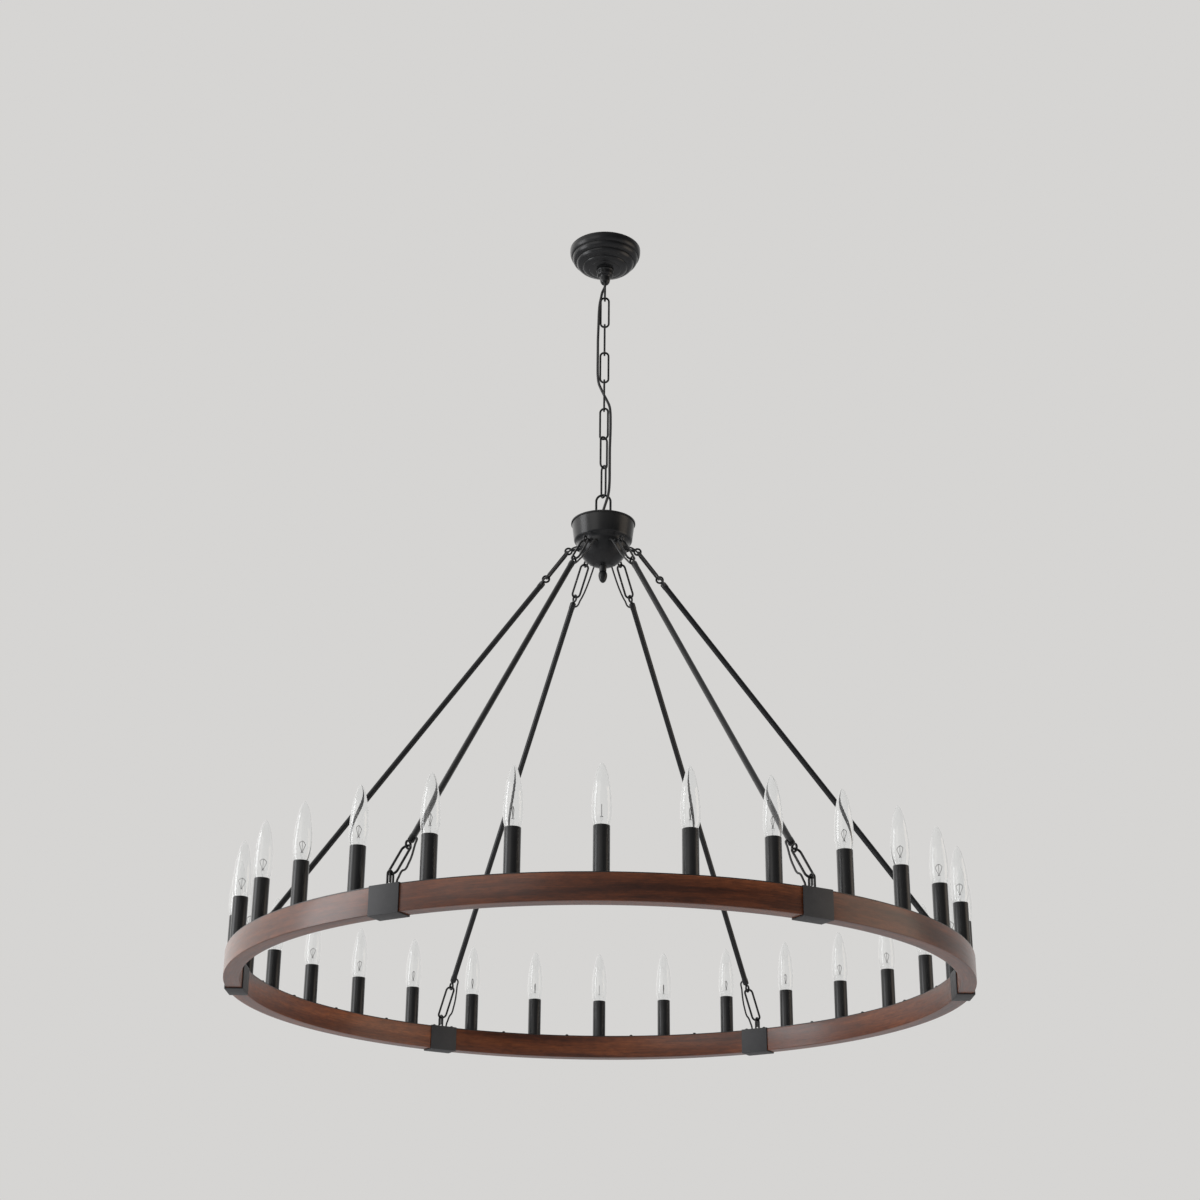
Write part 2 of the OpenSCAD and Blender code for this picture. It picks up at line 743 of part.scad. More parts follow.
// Route of the wire through leg i, in the leg's radial plane turned to leg_angle(i):
// from the terminal block out through the hub's wall, beside the upper link, in at
// the rod's side, down its bore, out beside the lower link and into the bracket
// Inside the hub: distance from the axis, height from the ball's centre
HUB_RUN = [[17, -34.6], [22, -33.5], [27, -28.5], [30, -20], [31.5, -13], [34.5, -9.6], [39.6, -10.6]];
// Beside the upper link: along the leg, to the side, upwards from it
UPPER_RUN = [
    [-6, 14.2, -7], [3, 15, -5], [16, 15.3, -4], [32, 15, -3.5], [48, 14, -3], [60, 12.8, -2],
    [70, 11, -1]
];
// Round the entry: along the leg from the hole's middle, to the side
ENTRY = [[-6, 10.6], [-3.2, 9.2], [-1.4, 7.1], [-0.4, 4.8], [0.8, 2], [3.2, 0.4], [7, 0]];
// Beside the lower link: along the leg from the hole's middle, to the side, upwards
LOWER_RUN = [[14, 11, -1], [26, 13, -2], [40, 14.5, -4], [54, 15.2, -5], [68, 15.2, -5]];
// Into the bracket: inwards from the hole, to the side, height above the rim
BRACKET_RUN = [[-7, 14.6, 24], [-3, 12.6, 15], [-0.8, 11.4, 9], [0, 11, 2], [0, 11, -4]];

function on_leg_point(p) =
    [hub_ring_r, 0, hub_ring_z]
    + p[0] * [cos(leg_tilt), 0, -sin(leg_tilt)]
    + [0, p[1], 0]
    + p[2] * [sin(leg_tilt), 0, cos(leg_tilt)];

function leg_wire_path(i) =
    let (
        side = leg_side(i),
        a = side * HUB_WIRE_TURN,
        spoke = [cos(a), sin(a), 0],
        top_hole = upper_ring_s + wire_exit,
        low_hole = lower_ring_s - wire_exit,
        n = len(ENTRY)
    )
    concat(
        [(BLOCK_R - 4) * spoke + [0, 0, block_wire_z]],
        [for (p = HUB_RUN) p[0] * spoke + [0, 0, p == HUB_RUN[0] ? block_wire_z : ball_z + p[1]]],
        [(hub_ball_r + 4) * cos(hub_ring_dip) * spoke + [0, 0, ball_z - (hub_ball_r + 4) * sin(hub_ring_dip)]],
        [for (p = UPPER_RUN) on_leg_point([p[0], side * p[1], p[2]])],
        [for (p = ENTRY) on_leg_point([top_hole + p[0], side * p[1], 0])],
        [for (t = [0.25, 0.5, 0.75]) on_leg_point([lerp(top_hole, low_hole, t), 0, 0])],
        [for (k = [n - 1:-1:0]) on_leg_point([low_hole - ENTRY[k][0], side * ENTRY[k][1], 0])],
        [for (p = LOWER_RUN) on_leg_point([low_hole + p[0], side * p[1], p[2]])],
        [for (p = BRACKET_RUN) [rim_r + p[0], side * p[1], rim_z + p[2]]],
        [[rim_r, side * wire_hole_y, loom_z + loom_d / 2 + 0.2]]
    );

module leg_wires() {
    color(BLACK)
        for (i = [1:LEGS])
            rotate([0, 0, leg_angle(i)])
                tube_along(leg_wire_path(i), wire_d, WIRE_SIDES);
}

// ---------------------------------------------------------------- legs

module rod(i) {
    ends = [upper_ring_s, lower_ring_s];
    bore_from = upper_ring_s + ring_r + 5;
    bore_to = lower_ring_s - ring_r - 5;
    color(BLACK) on_leg(i) difference() {
        union() {
            for (s = ends) translate([s, 0, 0]) wire_ring(ring_r, ring_wire);
            translate([upper_ring_s + ring_r, 0, 0]) rotate([0, 90, 0]) rod_end();
            translate([lower_ring_s - ring_r, 0, 0]) rotate([0, -90, 0]) rod_end();
            translate([bore_from, 0, 0]) rotate([0, 90, 0])
                cylinder(d = rod_d, h = bore_to - bore_from, $fn = 32);
        }
        translate([bore_from, 0, 0]) rotate([0, 90, 0])
            cylinder(d = rod_bore, h = bore_to - bore_from, $fn = 32);
        for (s = [upper_ring_s + wire_exit, lower_ring_s - wire_exit])
            translate([s, 0, 0]) rotate([-90 * leg_side(i), 0, 0])
                cylinder(d = rod_hole_d, h = ferrule_d, $fn = 24);
    }
}

// Turned ferrule between a rod's tube and its ring, standing on z = 0
module rod_end() {
    rotate_extrude($fn = 32)
        polygon([
            [0, 0], [2.4, 0], [2.8, 1.6], [ferrule_d / 2 - 0.6, 3.2], [ferrule_d / 2, 4.2],
            [ferrule_d / 2, ferrule_len - 2], [rod_d / 2, ferrule_len], [0, ferrule_len]
        ]);
}

// The oval links above and below a rod
module leg_links(i) {
    color(BLACK) on_leg(i)
        for (s = [ring_seat, lower_ring_s + ring_seat])
            translate([s, 0, 0])
                rotate([0, -90, 0])
                    rotate([0, 0, 90])
                        chain_link();
}

// ---------------------------------------------------------------- rim

function corner(x, y, from, r) =
    [for (a = [from:30:from + 90]) [x + r * cos(a), y + r * sin(a)]];

// Cross-section of a wooden arc, with its groove open at the top
function rim_section() =
    let (e = rim_edge, g = groove_w / 2)
    concat(
        corner(rim_out - e, -e, 0, e),
        [[rim_r + g, 0], [rim_r + g, -groove_depth], [rim_r - g, -groove_depth], [rim_r - g, 0]],
        corner(rim_in + e, -e, 90, e),
        corner(rim_in + e, -rim_h + e, 180, e),
        corner(rim_out - e, -rim_h + e, 270, e)
    );

module rim_arc(i) {
    end_trim = asin(arc_gap / 2 / rim_in);
    pilot = SCREW_D + 2 * fit;
    color(WOOD) difference() {
        rotate([0, 0, leg_angle(i) + end_trim])
            translate([0, 0, rim_z])
                rotate_extrude(angle = LEG_STEP - 2 * end_trim, $fn = 240)
                    polygon(rim_section());
        for (side = [0, 1])
            at_rim(leg_angle(i + side))
                translate([screw_x, (1 - 2 * side) * screw_y, -SCREW_LEN - 1])
                    cylinder(d = pilot, h = SCREW_LEN + 4, $fn = 24);
        for (k = [1:candles_per_arc - 1])
            at_rim(cover_screw_angle(i, k))
                translate([screw_x, 0, -SCREW_LEN - 1])
                    cylinder(d = pilot, h = SCREW_LEN + 4, $fn = 24);
    }
}

function cover_screw_angle(arc, k) = leg_angle(arc) + LEG_STEP * k / candles_per_arc;

// Straight sleeve of folded sheet over the joint of two arcs
module rim_bracket(i) {
    width = bracket_in + bracket_out;
    inner_h = rim_h + 2 * fit;
    color(BLACK) at_rim(leg_angle(i)) difference() {
        translate([-bracket_in - bracket_t, -bracket_half, -rim_h - fit - bracket_t])
            cube([width + 2 * bracket_t, bracket_len, inner_h + 2 * bracket_t]);
        translate([-bracket_in, -bracket_half - 1, -rim_h - fit])
            cube([width, bracket_len + 2, inner_h]);
        for (y = [-screw_y, screw_y])
            translate([screw_x, y, 0]) cylinder(d = SCREW_D + 2 * fit, h = 10, $fn = 24);
        translate([0, leg_side(i) * wire_hole_y, 0])
            cylinder(d = wire_hole_d, h = 10, $fn = 24);
    }
}

// Wire eye standing on a bracket, in the radial plane
module bracket_eyes() {
    color(BLACK)
        at_each_leg() {
            translate([0, 0, staple_z - rim_z]) wire_arch(staple_r, staple_wire);
            for (x = [-staple_r, staple_r])
                translate([x, 0, bracket_top])
                    cylinder(d = staple_wire, h = staple_z - rim_z - bracket_top, $fn = 16);
        }
}

module rim_screws() {
    color(BLACK) {
        at_each_leg()
            for (y = [-screw_y, screw_y])
                translate([screw_x, y, bracket_top + seat]) pan_screw();
        for (arc = [1:LEGS]) for (k = [1:candles_per_arc - 1])
            at_rim(cover_screw_angle(arc, k))
                translate([screw_x, 0, cover_top + seat]) pan_screw();
    }
}

// Steel strips that close the groove between the brackets
module channel_covers() {
    trim = asin((bracket_half + 0.3) / (rim_r - cover_w / 2));
    color(BLACK) difference() {
        for (i = [1:LEGS])
            rotate([0, 0, leg_angle(i) + trim])
                translate([0, 0, rim_z + seat])
                    rotate_extrude(angle = LEG_STEP - 2 * trim, $fn = 240)
                        translate([rim_r - cover_w / 2, 0])
                            square([cover_w, cover_t]);
        at_each_candle()
            translate([0, 0, rim_z - 1]) cylinder(d = stem_d + 2 * fit, h = 5, $fn = 32);
        for (arc = [1:LEGS]) for (k = [1:candles_per_arc - 1])
            at_rim(cover_screw_angle(arc, k))
                translate([screw_x, 0, -1]) cylinder(d = SCREW_D + 2 * fit, h = 5, $fn = 24);
    }
}

// Loom round the groove, with a branch up into each lampholder's stem
module rim_wiring() {
    color(BLACK) {
        translate([0, 0, loom_z])
            rotate_extrude($fn = 240)
                translate([rim_r, 0]) circle(d = loom_d, $fn = 16);
        at_each_candle()
            translate([0, 0, loom_z])
                cylinder(d = wire_d, h = holder_z + holder_floor - 3 - seat - loom_z, $fn = 16);
    }
}

// ---------------------------------------------------------------- candles

module candle_sleeves() {
    color(BLACK)
        at_each_candle()
            translate([0, 0, sleeve_z]) difference() {
                cylinder(d = sleeve_d, h = sleeve_h, $fn = 48);
                translate([0, 0, -1])
                    cylinder(d = sleeve_d - 2 * sleeve_t, h = sleeve_h + 2, $fn = 48);
            }
}

module lampholders() {
    r = holder_d / 2;
    color(PHENOLIC)
        at_each_candle()
            translate([0, 0, holder_z])
                rotate_extrude($fn = 48)
                    polygon([
                        [stem_d / 2 + fit, 0], [r - 2.5, 0], [r - 2.5, 7], [r, 10],
                        [r, holder_h - 1], [r - 1, holder_h], [holder_bore_d / 2, holder_h],
                        [holder_bore_d / 2, holder_floor], [0, holder_floor],
                        [0, holder_floor - 3], [stem_d / 2 + fit, holder_floor - 3]
                    ]);
}

module lampholder_stems() {
    color(STEEL)
        at_each_candle()
            translate([0, 0, stem_low]) difference() {
                cylinder(d = stem_d, h = stem_high - stem_low, $fn = 32);
                translate([0, 0, -1]) cylinder(d = stem_d - 2.4, h = stem_high - stem_low + 2, $fn = 32);
            }
}

module stem_nuts() {
    color(STEEL)
        at_each_candle()
            for (z = [rim_z - nut_t, rim_z + cover_top + seat])
                translate([0, 0, z])
                    rotate([0, 0, 30])
                        hex_nut(nut_af, stem_d + 2 * fit, nut_t);
}

// Screw base: rolled thread, insulator and centre contact
module bulb_bases() {
    r = base_d / 2;
    root = r - 0.7;
    low = neck_z - base_len;
    pitch = 2.5;
    turns = 4;
    color(BRASS)
        at_each_candle()
            translate([0, 0, bulb_z])
                rotate_extrude($fn = 32)
                    polygon(concat(
                        [[0, low], [1.8, low], [2.2, low + 0.8], [root - 1.2, low + 3]],
                        [for (k = [0:turns - 1]) each [
                            [root, low + 3.6 + k * pitch],
                            [r, low + 3.6 + (k + 0.5) * pitch]
                        ]],
                        [[root, low + 3.6 + turns * pitch], [r - 0.2, low + 5 + turns * pitch],
                         [r - 0.2, neck_z - seat], [0, neck_z - seat]]
                    ));
}

// Radius of the glass at height z above the sleeve's top
function glass_r(z) =
    z < bulb_belly
        ? let (t = (bulb_belly - z) / (bulb_belly - neck_z))
          lerp(bulb_d / 2, base_d / 2 - 0.2, 1 - pow(1 - pow(t, 2.2), 0.62))
        : let (t = (z - bulb_belly) / (bulb_h - bulb_belly))
          bulb_d / 2 * pow(1 - pow(t, 1.85), 0.6);

GLASS_LOW = [for (k = [0:7]) k / 8];
GLASS_HIGH = [0, 0.12, 0.25, 0.38, 0.51, 0.63, 0.74, 0.84, 0.92, 0.97, 0.992];
function glass_outline(inset) =
    concat(
        [for (t = GLASS_LOW) let (z = lerp(neck_z, bulb_belly, t)) [glass_r(z) - inset, z]],
        [for (t = GLASS_HIGH) let (z = lerp(bulb_belly, bulb_h, t))
            [max(glass_r(z) - inset, 0.3), z - inset * t * t]],
        [[0, bulb_h - inset]]
    );

module bulb_glass() {
    outer = glass_outline(0);
    inner = glass_outline(glass_t);
    n = len(inner);
    color(CLEAR)
        at_each_candle()
            translate([0, 0, bulb_z])
                rotate_extrude($fn = 32)
                    polygon(concat(outer, [for (i = [n - 1:-1:0]) inner[i]]));
}

// Glass stem, two lead-in wires and a filament
FILAMENT_Z = 27;
FILAMENT_HALF = 5.5;
module lead_wire(from, to, d) {
    v = to - from;
    translate(from)
        rotate([0, acos(v[2] / norm(v)), atan2(v[1], v[0])])
            cylinder(d = d, h = norm(v), $fn = 13);
}

module bulb_filaments() {
    stem_top = 14;
    color(CLEAR)
        at_each_candle()
            translate([0, 0, bulb_z]) {
                rotate_extrude($fn = 24)
                    polygon([
                        [0, neck_z], [4.2, neck_z], [3.4, neck_z + 3], [2.3, neck_z + 8],
                        [1.7, stem_top - 3], [2.2, stem_top - 1], [1.6, stem_top], [0, stem_top]
                    ]);
                for (x = [-1, 1])
                    lead_wire([x * 0.8, 0, stem_top - 0.4], [x * FILAMENT_HALF, 0, FILAMENT_Z], 0.7);
                lead_wire([0, 0, stem_top - 0.4], [0, 0, FILAMENT_Z + 4], 0.6);
                for (x = [-1, 1])
                    lead_wire([x * FILAMENT_HALF, 0, FILAMENT_Z], [0, 0, FILAMENT_Z + 4], 0.8);
            }
}

// ---------------------------------------------------------------- assembly

ceiling_crossbar();
ground_screw();
threaded_nipple();
nipple_locknut();
canopy_loop();
wire_nuts();
supply_cord();
canopy();
canopy_collar_nut();
hanging_link(1);  // chain_link_1
hanging_link(2);  // chain_link_2
hanging_link(3);  // chain_link_3
hanging_link(4);  // chain_link_4
hanging_link(5);  // chain_link_5
hanging_link(6);  // chain_link_6
hanging_link(7);  // chain_link_7
hub_loop();
hub_lid();
hub_bowl();
hub_stem();
hub_nuts();
hub_finial();
hub_eye_bolts();
hub_connector();
leg_wires();
rod(1);  // rod_1
rod(2);  // rod_2
rod(3);  // rod_3
rod(4);  // rod_4
rod(5);  // rod_5
rod(6);  // rod_6
leg_links(1);  // leg_links_1
leg_links(2);  // leg_links_2
leg_links(3);  // leg_links_3
leg_links(4);  // leg_links_4
leg_links(5);  // leg_links_5
leg_links(6);  // leg_links_6
rim_arc(1);  // rim_arc_1
rim_arc(2);  // rim_arc_2
rim_arc(3);  // rim_arc_3
rim_arc(4);  // rim_arc_4
rim_arc(5);  // rim_arc_5
rim_arc(6);  // rim_arc_6
rim_bracket(1);  // rim_bracket_1
rim_bracket(2);  // rim_bracket_2
rim_bracket(3);  // rim_bracket_3
rim_bracket(4);  // rim_bracket_4
rim_bracket(5);  // rim_bracket_5
rim_bracket(6);  // rim_bracket_6
bracket_eyes();
rim_screws();
channel_covers();
rim_wiring();
candle_sleeves();
lampholders();
lampholder_stems();
stem_nuts();
bulb_bases();
bulb_glass();
bulb_filaments();
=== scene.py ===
import math

import bpy
from mathutils import Matrix, Vector


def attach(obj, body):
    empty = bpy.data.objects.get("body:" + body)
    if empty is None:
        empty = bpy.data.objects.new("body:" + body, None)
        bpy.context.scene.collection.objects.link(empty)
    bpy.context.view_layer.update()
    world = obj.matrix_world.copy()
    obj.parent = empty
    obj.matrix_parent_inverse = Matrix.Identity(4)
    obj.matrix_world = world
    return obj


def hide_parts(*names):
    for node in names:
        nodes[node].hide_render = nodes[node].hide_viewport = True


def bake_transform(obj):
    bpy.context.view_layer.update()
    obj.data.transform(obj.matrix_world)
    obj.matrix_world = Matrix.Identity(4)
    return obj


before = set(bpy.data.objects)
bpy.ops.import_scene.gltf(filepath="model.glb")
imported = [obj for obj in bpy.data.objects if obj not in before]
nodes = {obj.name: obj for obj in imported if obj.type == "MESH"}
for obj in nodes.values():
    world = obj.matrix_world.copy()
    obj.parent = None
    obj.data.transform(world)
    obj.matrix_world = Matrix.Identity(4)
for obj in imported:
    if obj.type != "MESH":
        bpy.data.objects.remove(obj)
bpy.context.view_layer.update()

# ---------------------------------------------------------------- camera
# The picture was taken from almost under the front of the wheel, with the
# camera tilted up and rolled very slightly.
EYE, LENS = (-0.0047, -3.3169, -2.1180), 60.815
TILT, ROLL = math.radians(112.79), math.radians(0.458)
bpy.ops.object.camera_add(location=EYE)
camera = bpy.context.object
camera.name = "camera"
camera.data.lens, camera.data.sensor_width = LENS, 36.0
camera.data.clip_start, camera.data.clip_end = 0.05, 100.0
view = Matrix.Rotation(TILT, 3, "X") @ Matrix.Rotation(ROLL, 3, "Z")
camera.rotation_euler = view.to_euler()
bpy.context.scene.camera = camera
bpy.context.scene.view_settings.view_transform = "Standard"

# ---------------------------------------------------------------- room
# A plain pale room: a floor below the wheel and an even wall colour all
# round. Glossy parts see it bright at the back left and dim behind the
# camera. Two tall lights at the sides and a softer one in front light it.
FLOOR_Z, FLOOR_SIZE = -3.3, 400.0
FLOOR_COLOUR = (0.92, 0.91, 0.89, 1.0)
WALL = (0.672, 0.664, 0.652, 1.0)
AMBIENT, AMBIENT_STRENGTH = (0.95, 0.96, 1.0, 1.0), 0.52
BRIGHT_SIDE, SIDE_REACH = (-0.85, 0.53, 0.0), 0.9
DIM_STRENGTH, BRIGHT_STRENGTH = 0.08, 2.0


def settle(node, **settings):
    """Sets a node's properties and its inputs, both by name."""
    for key, value in settings.items():
        if hasattr(node, key):
            setattr(node, key, value)
        else:
            node.inputs[key.replace("_", " ")].default_value = value
    return node


def add(tree, kind, **settings):
    """Adds a shader node to a tree."""
    return settle(tree.nodes.new("ShaderNode" + kind), **settings)


def join(source, target):
    """Joins two sockets of one tree."""
    source.id_data.links.new(source, target)


def spread(amount, low, high, start=0.0, end=1.0):
    """Takes an amount that runs from start to end to the range from low to high."""
    ranged = add(amount.id_data, "MapRange", From_Min=start, From_Max=end, To_Min=low, To_Max=high)
    join(amount, ranged.inputs["Value"])
    return ranged.outputs["Result"]


def noise(tree, **settings):
    """Noise that lies still on the object."""
    place, grain = add(tree, "TexCoord"), add(tree, "TexNoise", **settings)
    join(place.outputs["Object"], grain.inputs["Vector"])
    return grain.outputs["Fac"]


def bump(height, strength, depth, below=None):
    """Raises a surface by a height. The depth is in metres; below is a bump under this one."""
    raised = add(height.id_data, "Bump", Strength=strength, Distance=depth)
    join(height, raised.inputs["Height"])
    if below is not None:
        join(below, raised.inputs["Normal"])
    return raised.outputs["Normal"]


def new_material(name, **settings):
    """A material, the inputs of its Principled shader, and its node tree."""
    material = bpy.data.materials.new(name)
    material.use_nodes = True
    tree = material.node_tree
    return material, settle(tree.nodes["Principled BSDF"], **settings).inputs, tree


bpy.ops.mesh.primitive_plane_add(size=FLOOR_SIZE, location=(0, 0, FLOOR_Z))
floor = bpy.context.object
floor.name = "floor"
plaster, surface, tree = new_material("pale_floor", Base_Color=FLOOR_COLOUR, Roughness=0.8)
join(bump(noise(tree, Scale=3.0, Detail=5.0), 0.03, 0.01), surface["Normal"])
floor.data.materials.append(plaster)

world = bpy.data.worlds.new("room_light")
bpy.context.scene.world = world
world.use_nodes = True
tree = world.node_tree
tree.nodes.clear()
to_bright_side = add(tree, "VectorMath", operation="DOT_PRODUCT")
to_bright_side.inputs[1].default_value = BRIGHT_SIDE
join(add(tree, "TexCoord").outputs["Generated"], to_bright_side.inputs[0])
brightness = spread(to_bright_side.outputs["Value"], DIM_STRENGTH, BRIGHT_STRENGTH,
                    start=-SIDE_REACH, end=SIDE_REACH)
seen = add(tree, "Background", Color=WALL)
mirrored = add(tree, "Background", Color=WALL)
join(brightness, mirrored.inputs["Strength"])
ambient = add(tree, "Background", Color=AMBIENT, Strength=AMBIENT_STRENGTH)
rays = add(tree, "LightPath")
see_through = add(tree, "Math", operation="MAXIMUM")
join(rays.outputs["Is Camera Ray"], see_through.inputs[0])
join(rays.outputs["Is Transmission Ray"], see_through.inputs[1])
glossy_or_light = add(tree, "MixShader")
join(rays.outputs["Is Glossy Ray"], glossy_or_light.inputs[0])
join(ambient.outputs[0], glossy_or_light.inputs[1])
join(mirrored.outputs[0], glossy_or_light.inputs[2])
room = add(tree, "MixShader")
join(see_through.outputs[0], room.inputs[0])
join(glossy_or_light.outputs[0], room.inputs[1])
join(seen.outputs[0], room.inputs[2])
join(room.outputs[0], add(tree, "OutputWorld").inputs["Surface"])


def softbox(name, place, target, size, power, colour):
    """An area light that faces a point. Bulbs don't show it through their glass."""
    bpy.ops.object.light_add(type="AREA", location=place)
    lamp = bpy.context.object
    lamp.name = name
    lamp.data.shape = "RECTANGLE"
    lamp.data.size, lamp.data.size_y = size
    lamp.data.energy = power
    lamp.data.color = colour
    aim = Vector(target) - Vector(place)
    lamp.rotation_euler = aim.to_track_quat("-Z", "Y").to_euler()
    lamp.visible_camera = False
    lamp.visible_transmission = False


softbox("window_left", place=(-3.5, -0.8, -0.8), target=(0, 0, -1.2), size=(1.5, 3.2),
        power=72, colour=(0.97, 0.98, 1.0))
softbox("front_left", place=(-2.4, -3.8, 0.2), target=(0, 0, -1.1), size=(2.4, 2.4),
        power=19, colour=(1.0, 0.98, 0.95))
softbox("window_right", place=(3.6, -0.5, -0.9), target=(0, 0, -1.2), size=(2.2, 3.0),
        power=36, colour=(1.0, 0.85, 0.70))

# ---------------------------------------------------------------- crossbar, nipple and locknut
# These carry the lamp on the ceiling box: stamped and turned steel with
# bright zinc plating, mottled like fine crystals and a little rubbed.


def ramp(amount, *stops):
    """Lays colours along an amount. Each stop is a position and a colour."""
    tone = add(amount.id_data, "ValToRGB")
    elements = tone.color_ramp.elements
    for k, (position, colour) in enumerate(stops):
        stop = elements[k] if k < 2 else elements.new(position)
        stop.position, stop.color = position, colour
    join(amount, tone.inputs["Fac"])
    return tone.outputs["Color"]


def plain_finish(name, texture, dark, light, rough, relief=None, start=0.0, metallic=0.0):
    """A finish led by one noise: it moves the tone from dark to light, the roughness when that
    is a pair, and the relief (strength, depth in metres) when there is one."""
    material, surface, tree = new_material(name, Metallic=metallic)
    grain = noise(tree, **texture)
    join(ramp(grain, (start, dark), (1.0, light)), surface["Base Color"])
    if isinstance(rough, tuple):
        join(spread(grain, *rough), surface["Roughness"])
    else:
        surface["Roughness"].default_value = rough
    if relief:
        join(bump(grain, *relief), surface["Normal"])
    return material


def finish_node(material, *names):
    """Gives CAD nodes their material."""
    for name in names:
        slots = nodes[name].data.materials
        slots.clear()
        slots.append(material)


ZINC = plain_finish("zinc_plating", dict(Scale=420.0, Detail=4.0, Roughness=0.6),
                    dark=(0.44, 0.45, 0.46, 1), light=(0.68, 0.69, 0.70, 1), rough=(0.26, 0.46),
                    relief=(0.12, 0.0002), metallic=1.0)
finish_node(ZINC, "ceiling_crossbar", "threaded_nipple", "nipple_locknut")

# ---------------------------------------------------------------- ground screw and wire connectors
# Screw for the earth wire, its zinc dyed green and uneven, and three moulded
# orange twist-on connectors that join the leads inside the canopy.


def moulded_plastic(name, dark, light, rough):
    """Moulded plastic: a fine spark-eroded texture and a slightly uneven tone."""
    return plain_finish(name, dict(Scale=1600.0, Detail=2.0), dark, light, rough,
                        relief=(0.15, 0.0001))


GREEN_DYE = plain_finish("green_dyed_zinc", dict(Scale=700.0, Detail=3.0),
                         dark=(0.02, 0.16, 0.05, 1), light=(0.06, 0.30, 0.12, 1), rough=0.35,
                         metallic=0.8)
ORANGE = moulded_plastic("orange_moulding", dark=(0.62, 0.16, 0.02, 1),
                         light=(0.78, 0.24, 0.04, 1), rough=0.32)
finish_node(GREEN_DYE, "ground_screw")
finish_node(ORANGE, "wire_nuts")

# ---------------------------------------------------------------- canopy
# Spun steel dome in five soft steps, painted satin black. It is pushed up
# over the screw collar and hides the ceiling box.
MM = 0.001  # sizes are in millimetres, the scene is in metres
CANOPY_R, CANOPY_DEPTH, CANOPY_T, CANOPY_HOLE_R = 67.0, 44.0, 1.2, 14.0
CANOPY_RIM = 3.5
CANOPY_STEPS = [(1, 0), (0.93, 0.3), (0.815, 0.56), (0.635, 0.81), (0.455, 0.95), (0.31, 1)]
STEP_SEGMENTS = 12
RUBBED_EDGE = (0.036, 0.035, 0.034, 1)
WELD = 1e-6
SMOOTH_ANGLE = math.radians(40)


def black_paint(name, dark, light, smooth, rough):
    """Black paint on metal: fine orange peel, a little uneven in gloss, edges rubbed greyer."""
    material, surface, tree = new_material(name, Specular_IOR_Level=0.3)
    clouds = noise(tree, Scale=38.0, Detail=6.0, Roughness=0.65)
    peel = noise(tree, Scale=1400.0, Detail=2.0, Roughness=0.5)
    edge = spread(add(tree, "NewGeometry").outputs["Pointiness"], 0.0, 0.5, start=0.52, end=0.62)
    worn = add(tree, "Mix", data_type="RGBA")
    worn.inputs[7].default_value = RUBBED_EDGE
    join(edge, worn.inputs[0])
    join(ramp(clouds, (0.3, dark), (0.75, light)), worn.inputs[6])
    join(worn.outputs[2], surface["Base Color"])
    join(spread(clouds, smooth, rough), surface["Roughness"])
    join(bump(peel, 0.10, 0.0001), surface["Normal"])
    return material


BLACK = black_paint("satin_black_paint", dark=(0.0058, 0.0063, 0.0073, 1),
                    light=(0.0102, 0.0108, 0.0118, 1), smooth=0.24, rough=0.36)


def deselect():
    """Leaves no object selected, because an operator acts on all that are."""
    bpy.ops.object.select_all(action="DESELECT")


def pick(piece):
    """Makes a piece the only selected object, and the active one."""
    deselect()
    piece.select_set(True)
    bpy.context.view_layer.objects.active = piece


def name_new(name):
    """Names the object just made, and its mesh."""
    piece = bpy.context.object
    piece.name = piece.data.name = name
    return piece


def edit_all():
    """Opens the active mesh for editing, with every vertex selected."""
    bpy.ops.object.mode_set(mode="EDIT")
    bpy.ops.mesh.select_mode(type="VERT")
    bpy.ops.mesh.select_all(action="SELECT")


def draw_out(x, z):
    """Extrudes the selection by a step in the X-Z plane, in mm."""
    bpy.ops.mesh.extrude_region_move(TRANSFORM_OT_translate={"value": (x * MM, 0, z * MM)})


def spin(steps, angle, axis, z=0.0):
    """Spins the selection about an axis at a height in mm."""
    bpy.ops.mesh.spin(steps=steps, angle=angle, center=(0, 0, z * MM), axis=axis)


def weld():
    """Welds the vertices that lie on one another."""
    bpy.ops.mesh.select_all(action="SELECT")
    bpy.ops.mesh.remove_doubles(threshold=WELD)


def close_edit():
    """Turns every face outwards and leaves edit mode."""
    bpy.ops.mesh.select_all(action="SELECT")
    bpy.ops.mesh.normals_make_consistent(inside=False)
    bpy.ops.object.mode_set(mode="OBJECT")


def turned(name, profile, sides):
    """A turned or spun piece: one vertex drawn along the profile (radius and height in mm),
    then spun round Z."""
    deselect()
    bpy.ops.mesh.primitive_plane_add(size=0.01)
    piece = name_new(name)
    edit_all()
    bpy.ops.mesh.merge(type="CENTER")
    radius, height = profile[0]
    bpy.ops.transform.translate(value=(radius * MM, 0, height * MM))
    for next_radius, next_height in profile[1:]:
        draw_out(next_radius - radius, next_height - height)
        radius, height = next_radius, next_height
    bpy.ops.mesh.select_all(action="SELECT")
    spin(sides, 2 * math.pi, (0, 0, 1))
    weld()
    close_edit()
    return piece


def soften(piece, width=0.0, segments=2, angle=30):
    """Rounds a piece's sharp edges by a bevel of this width in mm, and shades it smooth."""
    pick(piece)
    if width:
        bevel = piece.modifiers.new("edges", "BEVEL")
        bevel.width = width * MM
        bevel.segments = segments
        bevel.limit_method = "ANGLE"
        bevel.angle_limit = math.radians(angle)
        bpy.ops.object.modifier_apply(modifier=bevel.name)
    bpy.ops.object.shade_smooth_by_angle(angle=SMOOTH_ANGLE)
    return piece


def fit_piece(piece, material, body, node):
    """Paints a finished piece, hangs it on its body and lets it stand for a CAD node."""
    piece.data.materials.append(material)
    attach(piece, body)
    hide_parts(node)


def between(a, b, t):
    """The value at share t of the way from a to b."""
    return a + (b - a) * t


